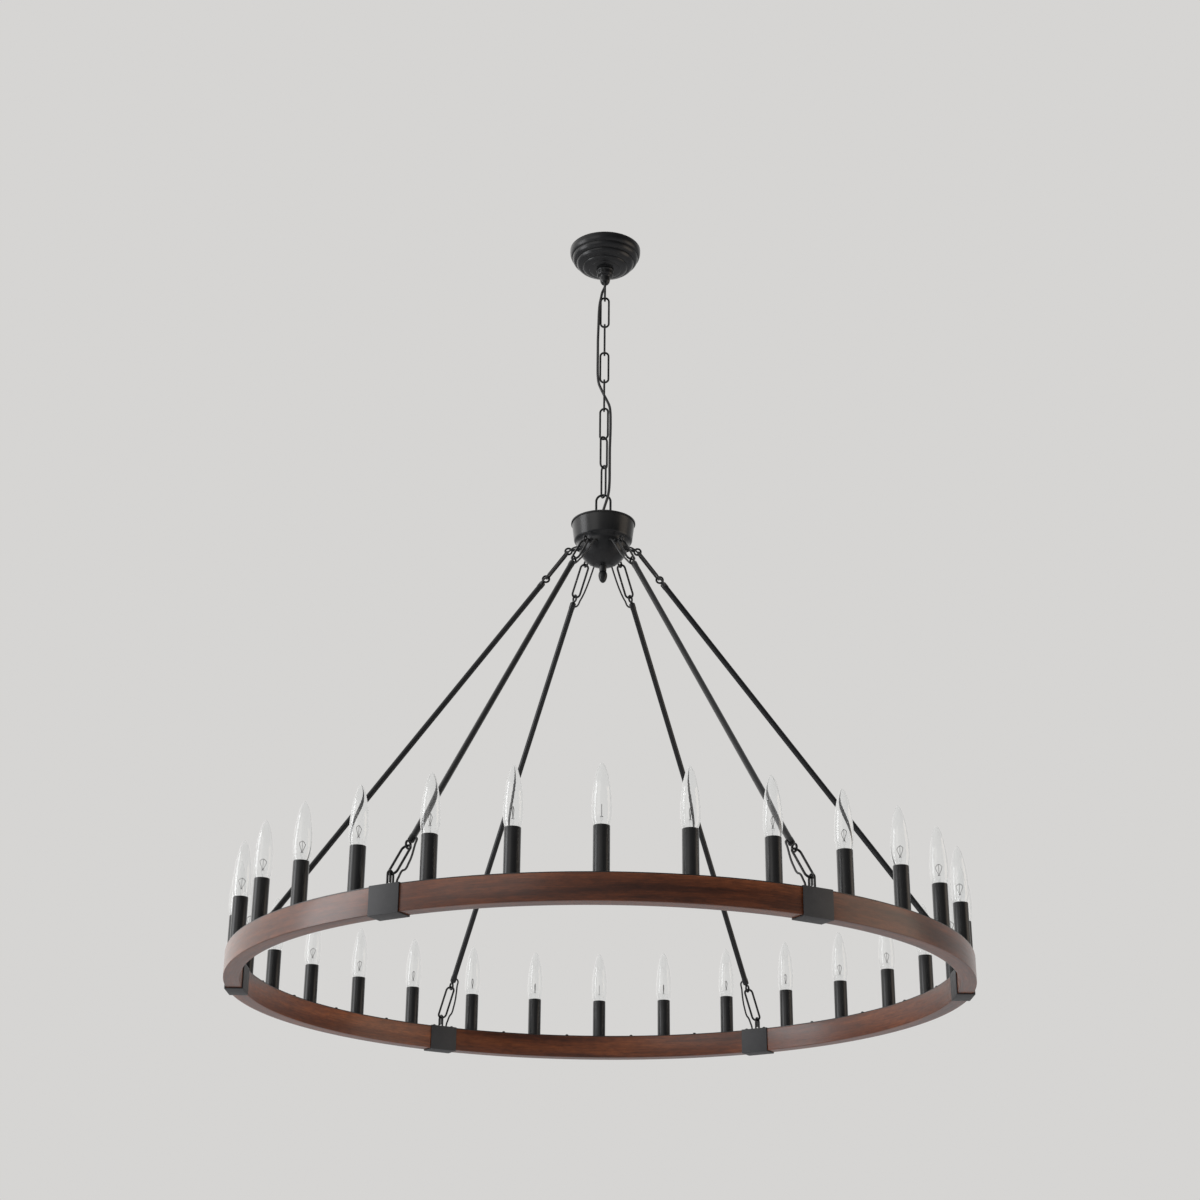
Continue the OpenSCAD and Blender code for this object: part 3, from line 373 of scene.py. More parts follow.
def canopy_profile(inset):
    """Each ring of the dome drops straight from its start and turns in flat to its end."""
    radius, depth = CANOPY_R - inset, CANOPY_DEPTH - CANOPY_RIM - inset
    points = [(radius, 0)]
    for (r0, z0), (r1, z1) in zip(CANOPY_STEPS, CANOPY_STEPS[1:]):
        for k in range(STEP_SEGMENTS + 1):
            a = math.radians(90 * k / STEP_SEGMENTS)
            points.append((radius * between(r1, r0, math.cos(a)),
                           -CANOPY_RIM - depth * between(z0, z1, math.sin(a))))
    return points


outer, inner = canopy_profile(0), canopy_profile(CANOPY_T)
hole = [(CANOPY_HOLE_R, -CANOPY_DEPTH), (CANOPY_HOLE_R, -CANOPY_DEPTH + CANOPY_T)]
canopy = turned("canopy_dome", outer + hole + inner[::-1] + outer[:1], sides=128)
fit_piece(soften(canopy), BLACK, "canopy_cover", "canopy")

# ---------------------------------------------------------------- collar nut
# Turned and fluted ring nut that clamps the canopy up against the ceiling.
# Steel, painted satin black.
COLLAR_TOP, COLLAR_LOW, COLLAR_R, COLLAR_BORE = -44.05, -57.5, 16.5, 12.1
WAIST_R = COLLAR_R - 1.2
FLUTES, FLUTE_INSET, FLUTE_DEPTH = 12, 0.35, 0.8
FLUTE_START, FLUTE_END = 10, 20
FLUTE_TOP, FLUTE_LOW = COLLAR_TOP - 3.5, COLLAR_LOW + 2.5
collar = turned("canopy_collar", [
    (COLLAR_BORE, COLLAR_TOP), (COLLAR_R - 0.4, COLLAR_TOP), (COLLAR_R, COLLAR_TOP - 0.4),
    (COLLAR_R, COLLAR_TOP - 2.3), (WAIST_R, COLLAR_TOP - 3.8), (WAIST_R, COLLAR_LOW + 3),
    (COLLAR_R - 2.2, COLLAR_LOW + 1), (COLLAR_R - 4, COLLAR_LOW), (COLLAR_BORE, COLLAR_LOW),
    (COLLAR_BORE, COLLAR_TOP)], sides=FLUTES * 6)


def choose_faces(piece, wanted):
    """Selects the faces whose middle and normal pass the test, in edit mode."""
    pick(piece)
    bpy.ops.object.mode_set(mode="EDIT")
    bpy.ops.mesh.select_mode(type="FACE")
    bpy.ops.mesh.select_all(action="DESELECT")
    bpy.ops.object.mode_set(mode="OBJECT")
    for face in piece.data.polygons:
        face.select = bool(wanted(face.center, face.normal))
    bpy.ops.object.mode_set(mode="EDIT")


def on_flute(middle, normal):
    """Whether a face of the waist lies in the part of its share of the turn that a flute takes."""
    turn = math.degrees(math.atan2(middle.y, middle.x)) % (360 / FLUTES)
    side = math.hypot(middle.x, middle.y) > (COLLAR_R - 2) * MM and abs(normal.z) < 0.1
    return side and FLUTE_LOW < middle.z / MM < FLUTE_TOP and FLUTE_START < turn < FLUTE_END


choose_faces(collar, on_flute)
bpy.ops.mesh.inset(thickness=FLUTE_INSET * MM, depth=-FLUTE_DEPTH * MM)
bpy.ops.object.mode_set(mode="OBJECT")
soften(collar, 0.25)
fit_piece(collar, BLACK, "canopy_cover", "canopy_collar_nut")

# ---------------------------------------------------------------- canopy loop
# Screw collar with a short neck, and an oval loop of round bar under it that
# the chain hangs in. Turned and bent steel, painted black.
SCREW_R, SCREW_TOP, SCREW_LOW = 12.0, -40.0, -57.5
NECK_R, NECK_Z = 9.5, -70.5
TUBE_BORE, CORD_BORE, TUBE_END = 5.1, 3.0, -64.0
LOOP_WIRE, LOOP_W, LOOP_LOW = 4.2, 23.4, -108.9
BAR_SIDES = 16


def bar_section(name, wire, x, z=0.0):
    """The round section of a bar at a place in the X-Z plane, in mm, open for editing."""
    deselect()
    bpy.ops.mesh.primitive_circle_add(vertices=BAR_SIDES, radius=wire / 2 * MM,
                                      location=(x * MM, 0, z * MM))
    piece = name_new(name)
    bpy.ops.object.transform_apply(location=True, rotation=True, scale=True)
    edit_all()
    return piece


def bar_loop(name, wire, width, top, low, steps=20, gap=0.0):
    """A closed oval of round bar in the X-Z plane, bent from one length. With a gap, its two
    ends meet there."""
    r = (width - wire) / 2
    straight = (top - low) - 2 * r
    rise = (straight - gap) / 2
    piece = bar_section(name, wire, r, top - r - straight / 2 + gap / 2)
    draw_out(0, rise)
    spin(steps, math.pi, (0, 1, 0), top - r)
    draw_out(0, -straight)
    spin(steps, math.pi, (0, 1, 0), low + r)
    draw_out(0, rise)
    weld()
    if gap:
        bpy.ops.mesh.select_all(action="DESELECT")
        bpy.ops.mesh.select_mode(type="EDGE")
        bpy.ops.mesh.select_non_manifold()
        bpy.ops.mesh.edge_face_add()
    close_edit()
    return piece


def turn_in_place(piece, matrix):
    """Moves a finished mesh to its place; the object stays at the origin."""
    piece.data.transform(matrix)
    piece.data.update()
    return piece


def join_pieces(name, pieces):
    """Several solids of one welded or screwed piece become one object."""
    pick(pieces[0])
    for piece in pieces[1:]:
        piece.select_set(True)
    bpy.ops.object.join()
    return name_new(name)


collar_body = turned("screw_collar", [
    (TUBE_BORE, SCREW_TOP - 2), (TUBE_BORE, SCREW_TOP - 0.2), (SCREW_R - 0.6, SCREW_TOP),
    (SCREW_R, SCREW_TOP - 0.6), (SCREW_R, SCREW_LOW + 0.3), (SCREW_R - 0.4, SCREW_LOW),
    (SCREW_R - 1, SCREW_LOW), (NECK_R, SCREW_LOW - 2.5), (NECK_R, SCREW_LOW - 9),
    (NECK_R - 1.1, NECK_Z), (6.4, NECK_Z - 2.9), (CORD_BORE, NECK_Z - 3), (CORD_BORE, TUBE_END),
    (TUBE_BORE, TUBE_END), (TUBE_BORE, SCREW_TOP - 2)], sides=64)
loop = bar_loop("loop", LOOP_WIRE, LOOP_W, NECK_Z + 1, LOOP_LOW)
turn_in_place(loop, Matrix.Rotation(math.radians(90), 4, "Z"))
canopy_loop = join_pieces("canopy_screw_loop", [soften(collar_body, 0.2), soften(loop)])
fit_piece(canopy_loop, BLACK, "ceiling_mount", "canopy_loop")

# ---------------------------------------------------------------- chain
# Seven long oval links of round steel wire, closed with a fine slit in one
# side, hung one in the other and painted with the rest.
LINK_LEN, LINK_W, LINK_WIRE, LINK_PLAY, LINK_SLIT = 67.0, 19.0, 3.8, 0.3, 0.5
LINK_TURN = [0, 90, 180, 270, 340, 400, 480]
LINK_PITCH = LINK_LEN - 2 * LINK_WIRE - LINK_PLAY
LINK_REACH = LINK_LEN - LINK_WIRE
FIRST_LINK_Z = LOOP_LOW + (LOOP_WIRE + LINK_WIRE) / 2 + LINK_PLAY
chain_link = soften(bar_loop("chain_link", LINK_WIRE, LINK_W, 0, -LINK_REACH, gap=LINK_SLIT))


def moved(x, y, z):
    """The matrix of a move in mm."""
    return Matrix.Translation((x * MM, y * MM, z * MM))


def copied(piece, name, matrix):
    """A copy with its own mesh, put in its place."""
    twin = piece.copy()
    twin.data = piece.data.copy()
    twin.name = twin.data.name = name
    bpy.context.scene.collection.objects.link(twin)
    return turn_in_place(twin, matrix)


for i, turn in enumerate(LINK_TURN):
    place = (moved(0, 0, FIRST_LINK_Z - i * LINK_PITCH)
             @ Matrix.Rotation(math.radians(turn), 4, "Z"))
    fit_piece(copied(chain_link, f"link_{i + 1}", place), BLACK,
              f"link_{i + 1}", f"chain_link_{i + 1}")

# ---------------------------------------------------------------- supply cord
# Black three-core cord in a smooth round jacket. It comes out of the screw
# collar, winds down through the chain and goes in at the hub's middle. It is
# cut into pieces halfway between the places where one link hangs in the next.
CORD_D, CORD_SIDES, CORD_END, BEND_REACH = 5.0, 16, -700.0, 28.0
LEAD_D, LEAD_SIDES, LEAD_Z = 1.6, 12, -21
CORD_ROUTE = [
    (-17, 0, -21), (-11, 0, -21.5), (-4, 0, -24), (0, 0, -31), (0, 0, -42), (0, 0, -56),
    (0, 0, -70), (0, 0, -78), (-2, -2, -86), (-5, -4.5, -95), (-7, -6, -106), (-9.5, -6, -120),
    (-11, -5, -138), (-11.5, -4, -158), (-12, -4, -178), (-12.5, -4, -198), (-12.5, -4, -218),
    (-12.5, -4, -238), (-12.5, -4, -258), (-12, -4, -276), (-10, -3, -290), (-5, -1, -302),
    (0, 0, -313), (5, -1, -324), (9.5, -3.5, -336), (11.5, -5.5, -350), (12, -6, -368),
    (12, -6, -388), (11.5, -5, -408), (11, -4, -428), (11, -4, -448), (11, -4, -468),
    (11, -4, -486), (10.5, -4.5, -502), (9.5, -5.4, -514), (8, -5.8, -523), (5.5, -5, -532),
    (2.5, -2.5, -541), (0, -0.5, -550), (0, 0, -560), (0, 0, -574), (0, 0, -584),
    (-2.5, 0, -592), (-7.5, 0, -599), (-10, 0, -608), (-10.4, 0, -620), (-10.4, 0, -634),
    (-10.4, 0, -644)]
# Smooth black jacket with a soft sheen, fine marks and a little dust.
JACKET = plain_finish("cord_jacket", dict(Scale=260.0, Detail=5.0, Roughness=0.7),
                      dark=(0.012, 0.012, 0.013, 1), light=(0.030, 0.030, 0.031, 1), rough=0.48,
                      relief=(0.15, 0.0001), start=0.35)


def swept(name, route, diameter, sides):
    """A round cord swept along a smooth curve through the route's points, in mm."""
    curve = bpy.data.curves.new(name, "CURVE")
    curve.dimensions = "3D"
    spline = curve.splines.new("BEZIER")
    spline.bezier_points.add(len(route) - 1)
    for knot, point in zip(spline.bezier_points, route):
        knot.co = Vector(point) * MM
        knot.handle_left_type = knot.handle_right_type = "AUTO"
    curve.resolution_u = 4
    curve.bevel_depth = diameter / 2 * MM
    curve.bevel_resolution = sides // 4 - 1
    curve.use_fill_caps = True
    cord = bpy.data.objects.new(name, curve)
    bpy.context.scene.collection.objects.link(cord)
    pick(cord)
    bpy.ops.object.convert(target="MESH")
    cord = name_new(name)
    edit_all()
    weld()
    close_edit()
    return cord


def cut_off(piece, height, direction):
    """Cuts a piece level at a height in mm, takes away what lies above (1) or below (-1) and
    closes the cut."""
    pick(piece)
    edit_all()
    bpy.ops.mesh.bisect(plane_co=(0, 0, height * MM), plane_no=(0, 0, direction),
                        use_fill=True, clear_outer=True)
    bpy.ops.object.mode_set(mode="OBJECT")


cord = swept("cord_whole", CORD_ROUTE, CORD_D, CORD_SIDES)
contacts = [LOOP_LOW] + [FIRST_LINK_Z - i * LINK_PITCH - LINK_REACH for i in range(7)]
cuts = [0.0] + [(a + b) / 2 for a, b in zip(contacts, contacts[1:])] + [CORD_END]
for i, contact in enumerate(contacts):
    part = copied(cord, f"supply_cord_{i + 1}", Matrix.Identity(4))
    if i > 0:
        cut_off(part, cuts[i], 1)
    if i < len(contacts) - 1:
        cut_off(part, cuts[i + 1], -1)
    soften(part)
    part.data.materials.append(JACKET)
    start, end = min(contact + BEND_REACH, cuts[i]), max(contact - BEND_REACH, cuts[i + 1])
    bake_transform(part)
    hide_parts("supply_cord")
bpy.data.objects.remove(cord)
for y in (-15, 0, 15):
    side = (y > 0) - (y < 0)
    lead = swept(f"lead_{y + 16}", [
        (-16, 1.4 * side, LEAD_Z), (-18.5, 1.8 * side, LEAD_Z), (-20, y * 0.45, LEAD_Z),
        (-22.5, y * 0.92, LEAD_Z), (-26, y, LEAD_Z), (-36, y, LEAD_Z)], LEAD_D, LEAD_SIDES)
    fit_piece(soften(lead), JACKET, "ceiling_mount", "supply_cord")

# ---------------------------------------------------------------- hub
# The hub's body is spun from steel: a lid with a turned-down lip on a
# tapered bowl with a round underside, all painted satin black.
HUB_Z, HUB_R, HUB_T, HUB_WALL, HUB_LIP, HUB_EDGE = -574.0, 58.0, 1.2, 34.0, 3.2, 1.1
BALL_R, BALL_DROP, FLAT_R, FOLD_OUT, FOLD_R = 46.0, 6, 9.0, 6.5, 5.2
BALL_Z = HUB_Z - HUB_WALL - BALL_DROP
HUB_BOTTOM = BALL_Z - math.sqrt(BALL_R ** 2 - FLAT_R ** 2)
SEAT = 0.05


def bowl_profile(inset):
    """The tapered wall folds in to the round underside and ends flat under the stem."""
    wall_r, wall_z = BALL_R + FOLD_OUT - inset, HUB_Z - HUB_WALL
    points = [(HUB_R - HUB_T - 0.3 - inset, HUB_Z - HUB_T - SEAT), (wall_r, wall_z)]
    for degrees in (10, 20, 30, 40, 50, 60, 68):
        a = math.radians(degrees)
        points.append((wall_r - (FOLD_R - inset * 0.3) * (1 - math.cos(a)),
                       wall_z - FOLD_R * math.sin(a)))
    for degrees in range(4, 78, 3):
        a = math.radians(degrees)
        points.append(((BALL_R - inset) * math.cos(a), BALL_Z - (BALL_R - inset) * math.sin(a)))
    return points + [(FLAT_R, HUB_BOTTOM + inset)]


outer, inner = bowl_profile(0), bowl_profile(HUB_T)
hole = [(TUBE_BORE, HUB_BOTTOM), (TUBE_BORE, HUB_BOTTOM + HUB_T)]
bowl = turned("hub_cup", outer + hole + inner[::-1] + outer[:1], sides=96)
fit_piece(soften(bowl), BLACK, "hub", "hub_bowl")
lid = turned("hub_cover", [(r, HUB_Z - drop) for r, drop in (
    (TUBE_BORE, 0), (HUB_R - HUB_EDGE, 0), (HUB_R - HUB_EDGE / 2, 0.15),
    (HUB_R - 0.15, HUB_EDGE / 2), (HUB_R, HUB_EDGE), (HUB_R, HUB_LIP - 0.2),
    (HUB_R - 0.2, HUB_LIP), (HUB_R - HUB_T, HUB_LIP), (HUB_R - HUB_T, HUB_T),
    (TUBE_BORE, HUB_T), (TUBE_BORE, 0))], sides=96)
fit_piece(soften(lid), BLACK, "hub", "hub_lid")

# The hub's loop is a turned boss with a bar bent over it, screwed on the
# stem's top; the finial is a turned acorn screwed on its lower end.
ARCH_W, ARCH_H, ARCH_FOOT, ARCH_WASTE = 30.0, 58, 4, 40
BOSS_R, BOSS_H = 16.5, 13.0
FINIAL_TOP, FINIAL_BORE = HUB_BOTTOM - SEAT, 9
boss = turned("hub_boss", [(r, HUB_Z + z) for r, z in (
    (TUBE_BORE, SEAT), (BOSS_R - 0.4, SEAT), (BOSS_R, SEAT + 0.4), (BOSS_R, 4.8),
    (BOSS_R - 1.5, 7), (BOSS_R - 1.5, BOSS_H - 1.7), (BOSS_R - 3, BOSS_H), (CORD_BORE, BOSS_H),
    (CORD_BORE, BOSS_H - 4), (TUBE_BORE, BOSS_H - 4), (TUBE_BORE, SEAT))], sides=64)
bar = bar_loop("hub_bar", LOOP_WIRE, ARCH_W, HUB_Z + ARCH_H - LOOP_WIRE / 2,
               HUB_Z - ARCH_WASTE, steps=28)
cut_off(bar, HUB_Z + ARCH_FOOT, -1)
hub_loop = join_pieces("hub_screw_loop", [soften(boss, 0.15), soften(bar)])
fit_piece(hub_loop, BLACK, "hub", "hub_loop")
finial = turned("acorn_finial", [(r, FINIAL_TOP - drop) for r, drop in (
    (TUBE_BORE, 0), (6.6, 0), (6.8, 0.2), (6.8, 1.5), (6.4, 3), (6.4, 9), (5.9, 10.5),
    (6.4, 11.5), (7.1, 12.8), (7.6, 14), (7.9, 16), (8, 18), (7.8, 20.3), (7.4, 22.5),
    (6.75, 24.8), (5.9, 27), (4.9, 28.8), (3.7, 30.3), (2.6, 31.2), (1.5, 31.8), (0, 32))],
    sides=48)
choose_faces(finial, lambda middle, normal: False)
bpy.ops.mesh.select_mode(type="EDGE")
bpy.ops.mesh.select_non_manifold()
draw_out(0, -FINIAL_BORE)
bpy.ops.mesh.edge_face_add()
close_edit()
fit_piece(soften(finial), BLACK, "hub", "hub_finial")

# Stem, nuts and terminal block inside the hub.
PHENOLIC = moulded_plastic("phenolic_moulding", dark=(0.018, 0.014, 0.012, 1),
                           light=(0.034, 0.027, 0.022, 1), rough=0.42)
finish_node(ZINC, "hub_stem", "hub_nuts")
finish_node(PHENOLIC, "hub_connector")

# ---------------------------------------------------------------- eye bolts
# Six forged eyes round the bowl, each with a coned shoulder outside and a
# shank through the wall. Painted satin black.
RING_REACH, RING_DIP, RING_D, RING_WIRE = 64.0, math.radians(15), 15.4, 3.6
RING_R = (RING_D - RING_WIRE) / 2
SHANK_R, SHANK_IN, SHOULDER_R = 2.5, BALL_R - 7, 5
SHANK_OUT, SHOULDER_Z = RING_REACH - RING_R + 0.4, BALL_R + SEAT
LEG_ANGLES = [math.radians(-120 + 60 * i) for i in range(6)]
RING_STEPS = 40


def wire_ring(name, radius, wire):
    """A closed ring of round wire in the X-Z plane: a circle spun once round."""
    piece = bar_section(name, wire, radius)
    spin(RING_STEPS, 2 * math.pi, (0, 1, 0))
    weld()
    close_edit()
    return piece


ring = turn_in_place(wire_ring("eye_ring", RING_R, RING_WIRE), moved(RING_REACH, 0, 0))
to_x = Matrix.Rotation(math.radians(90), 4, "Y")
shank = turned("eye_shank", [
    (0, SHANK_IN), (SHANK_R - 0.3, SHANK_IN), (SHANK_R, SHANK_IN + 0.4), (SHANK_R, SHOULDER_Z),
    (SHOULDER_R, SHOULDER_Z), (SHOULDER_R - 0.4, SHOULDER_Z + 1.2), (3.25, SHOULDER_Z + 3),
    (SHANK_R, SHOULDER_Z + 3.2), (SHANK_R, SHANK_OUT), (0, SHANK_OUT)], sides=32)
turn_in_place(shank, to_x)
eye = join_pieces("eye_bolt", [soften(ring), soften(shank)])
for i, angle in enumerate(LEG_ANGLES):
    place = (Matrix.Rotation(angle, 4, "Z") @ moved(0, 0, BALL_Z)
             @ Matrix.Rotation(RING_DIP, 4, "Y"))
    fit_piece(copied(eye, f"eye_bolt_{i + 1}", place), BLACK, "hub",
              "hub_eye_bolts")
bpy.data.objects.remove(eye)

# ---------------------------------------------------------------- legs
# Six straight tubes with a turned ferrule and a ring at each end, hung
# between two oval links. Steel, painted satin black.
RIM_Z, RIM_R = -1385.0, 597.0
STAPLE_R, STAPLE_WIRE, STAPLE_Z = 7.0, 3.4, -1367.6
ROD_R, FERRULE_R, FERRULE_LEN = 5.0, 5.5, 15.0
FERRULE = [(0, 0), (2.4, 0), (2.8, 1.6), (FERRULE_R - 0.6, 3.2), (FERRULE_R, 4.2),
           (FERRULE_R, FERRULE_LEN - 2), (ROD_R, FERRULE_LEN)]
HUB_RING_R = RING_REACH * math.cos(RING_DIP)
HUB_RING_Z = BALL_Z - RING_REACH * math.sin(RING_DIP)
LEG_RUN, LEG_FALL = RIM_R - HUB_RING_R, HUB_RING_Z - STAPLE_Z
LEG_LEN, LEG_TILT = math.hypot(LEG_RUN, LEG_FALL), math.atan2(LEG_FALL, LEG_RUN)
RING_SEAT = RING_R - RING_WIRE / 2 - LINK_WIRE / 2 - LINK_PLAY * 0.7
STAPLE_SEAT = STAPLE_R - STAPLE_WIRE / 2 - LINK_WIRE / 2 - LINK_PLAY * 1.5
UPPER_S = 2 * RING_SEAT + LINK_REACH
LOWER_S = LEG_LEN - STAPLE_SEAT - LINK_REACH - RING_SEAT


def on_leg(i):
    """Leg i's own axes: X runs down the leg from the hub ring's middle."""
    return (Matrix.Rotation(LEG_ANGLES[i], 4, "Z") @ moved(HUB_RING_R, 0, HUB_RING_Z)
            @ Matrix.Rotation(LEG_TILT, 4, "Y"))


tube_start, tube_end = UPPER_S + RING_R, LOWER_S - RING_R
tube = turned("rod_tube", [(r, tube_start + s) for r, s in FERRULE]
              + [(r, tube_end - s) for r, s in FERRULE[::-1]], sides=32)
turn_in_place(tube, to_x)
rings = [turn_in_place(wire_ring("rod_ring", RING_R, RING_WIRE), moved(s, 0, 0))
         for s in (UPPER_S, LOWER_S)]
rod = join_pieces("rod", [soften(tube, 0.3)] + [soften(r) for r in rings])
hanging = Matrix.Rotation(math.radians(-90), 4, "Y") @ Matrix.Rotation(math.radians(90), 4, "Z")
for i in range(6):
    body = f"leg_{i + 1}"
    fit_piece(copied(rod, f"rod_{i + 1}_tube", on_leg(i)), BLACK, body,
              f"rod_{i + 1}")
    for end, s in (("upper", RING_SEAT), ("lower", LOWER_S + RING_SEAT)):
        link = copied(chain_link, f"leg_{i + 1}_{end}_link", on_leg(i) @ moved(s, 0, 0) @ hanging)
        fit_piece(link, BLACK, body, f"leg_links_{i + 1}")
bpy.data.objects.remove(rod)
bpy.data.objects.remove(chain_link)

# ---------------------------------------------------------------- leg wires
# A thin black cord feeds the wheel through each rod: out of the hub's wall,
# in at the rod's side, out at its lower end and down into the bracket. Its
# upper part curves from the hub's wall round to the leg's side.
WIRE_D, WIRE_SIDES, LOOM_D, GROOVE_DEPTH = 3.2, 12, 4.0, 14.0
HUB_WIRE_TURN, WIRE_HOLE_Y = math.radians(15), 11.0
LEG_SIDE = [1, -1, -1, 1, -1, 1]  # the side of each leg that its wire runs on
HOLE_IN, WALL_GAP, BLOCK_GAP, BLOCK_HOLE_H, LOOM_GAP = 5, 4, 0.1, 8, 0.2
TOP_HOLE = UPPER_S + RING_R + FERRULE_LEN - HOLE_IN
LOW_HOLE = LOWER_S - RING_R - FERRULE_LEN + HOLE_IN
WALL_OUT = BALL_R + WALL_GAP
BLOCK_WIRE_Z = HUB_BOTTOM + HUB_T + BLOCK_GAP + BLOCK_HOLE_H
LOOM_TOP = RIM_Z - GROOVE_DEPTH + SEAT + LOOM_D
BLOCK_RUN = [11, 17]
HUB_RUN = [(22, -33.5), (27, -28.5), (30, -20), (31.5, -13), (34.5, -9.6), (39.6, -10.6),
           (WALL_OUT * math.cos(RING_DIP), -WALL_OUT * math.sin(RING_DIP))]
UPPER_RUN = [(-6, 14.2, -7), (3, 15, -5), (16, 15.3, -4), (32, 15, -3.5), (48, 14, -3),
             (60, 12.8, -2), (70, 11, -1)]
ENTRY = [(-6, 10.6), (-3.2, 9.2), (-1.4, 7.1), (-0.4, 4.8), (0.8, 2), (3.2, 0.4), (7, 0)]
TUBE_RUN, TUBE_START = (30, 60, 90), 13
LOWER_RUN = [(14, 11, -1), (26, 13, -2), (40, 14.5, -4), (54, 15.2, -5), (68, 15.2, -5)]
BRACKET_RUN = [(-7, 14.6, 24), (-3, 12.6, 15), (-0.8, 11.4, 9), (0, 11, 2), (0, 11, -4)]
BEND_START, BEND_END = -6, 60


def leg_point(along, side=0, up=0):
    """A point beside the leg, in the leg's radial plane before it turns to its angle."""
    c, s = math.cos(LEG_TILT), math.sin(LEG_TILT)
    return (HUB_RING_R + along * c + up * s, side, HUB_RING_Z - along * s + up * c)


for i, (angle, side) in enumerate(zip(LEG_ANGLES, LEG_SIDE)):
    c, s = math.cos(side * HUB_WIRE_TURN), math.sin(side * HUB_WIRE_TURN)
    upper = [(r * c, r * s, BLOCK_WIRE_Z) for r in BLOCK_RUN]
    upper += [(r * c, r * s, BALL_Z + z) for r, z in HUB_RUN]
    upper += [leg_point(x, side * y, z) for x, y, z in UPPER_RUN]
    upper += [leg_point(TOP_HOLE + x, side * y) for x, y in ENTRY]
    upper += [leg_point(TOP_HOLE + x) for x in TUBE_RUN]
    lower = [leg_point(LOW_HOLE - TUBE_START)]
    lower += [leg_point(LOW_HOLE - x, side * y) for x, y in ENTRY[::-1]]
    lower += [leg_point(LOW_HOLE + x, side * y, z) for x, y, z in LOWER_RUN]
    lower += [(RIM_R + x, side * y, RIM_Z + z) for x, y, z in BRACKET_RUN]
    lower += [(RIM_R, side * WIRE_HOLE_Y, LOOM_TOP + LOOM_GAP)]
    turn = Matrix.Rotation(angle, 4, "Z")
    upper_wire, lower_wire = (
        soften(turn_in_place(swept(f"wire_{i + 1}_{end}", route, WIRE_D, WIRE_SIDES), turn))
        for end, route in (("upper", upper), ("lower", lower)))
    upper_wire.data.materials.append(JACKET)
    start, end = turn @ Vector(leg_point(BEND_START)), turn @ Vector(leg_point(BEND_END))
    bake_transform(upper_wire)
    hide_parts("leg_wires")
    fit_piece(lower_wire, JACKET, "wheel", "leg_wires")

# ---------------------------------------------------------------- wood rim
# Six bent hardwood arcs, eased at the edges, with a wiring groove in the
# top. Stained dark walnut under a satin varnish, its grain along the arc.
RIM_IN, RIM_OUT, RIM_H, RIM_EDGE = 584.0, 610.0, 40.0, 0.96
GROOVE_W, ARC_GAP, ARC_STEPS = 12.5, 1.0, 60
ARC = math.radians(60)
TRIM = math.asin(ARC_GAP / 2 / RIM_IN)
BOARD_SHIFT = 3.0  # the most that a board's own pattern is shifted, in metres
STAIN_DARK, STAIN_MIDDLE, STAIN_LIGHT = (
    (0.049, 0.0112, 0.0028, 1), (0.110, 0.0270, 0.0064, 1), (0.176, 0.047, 0.0115, 1))


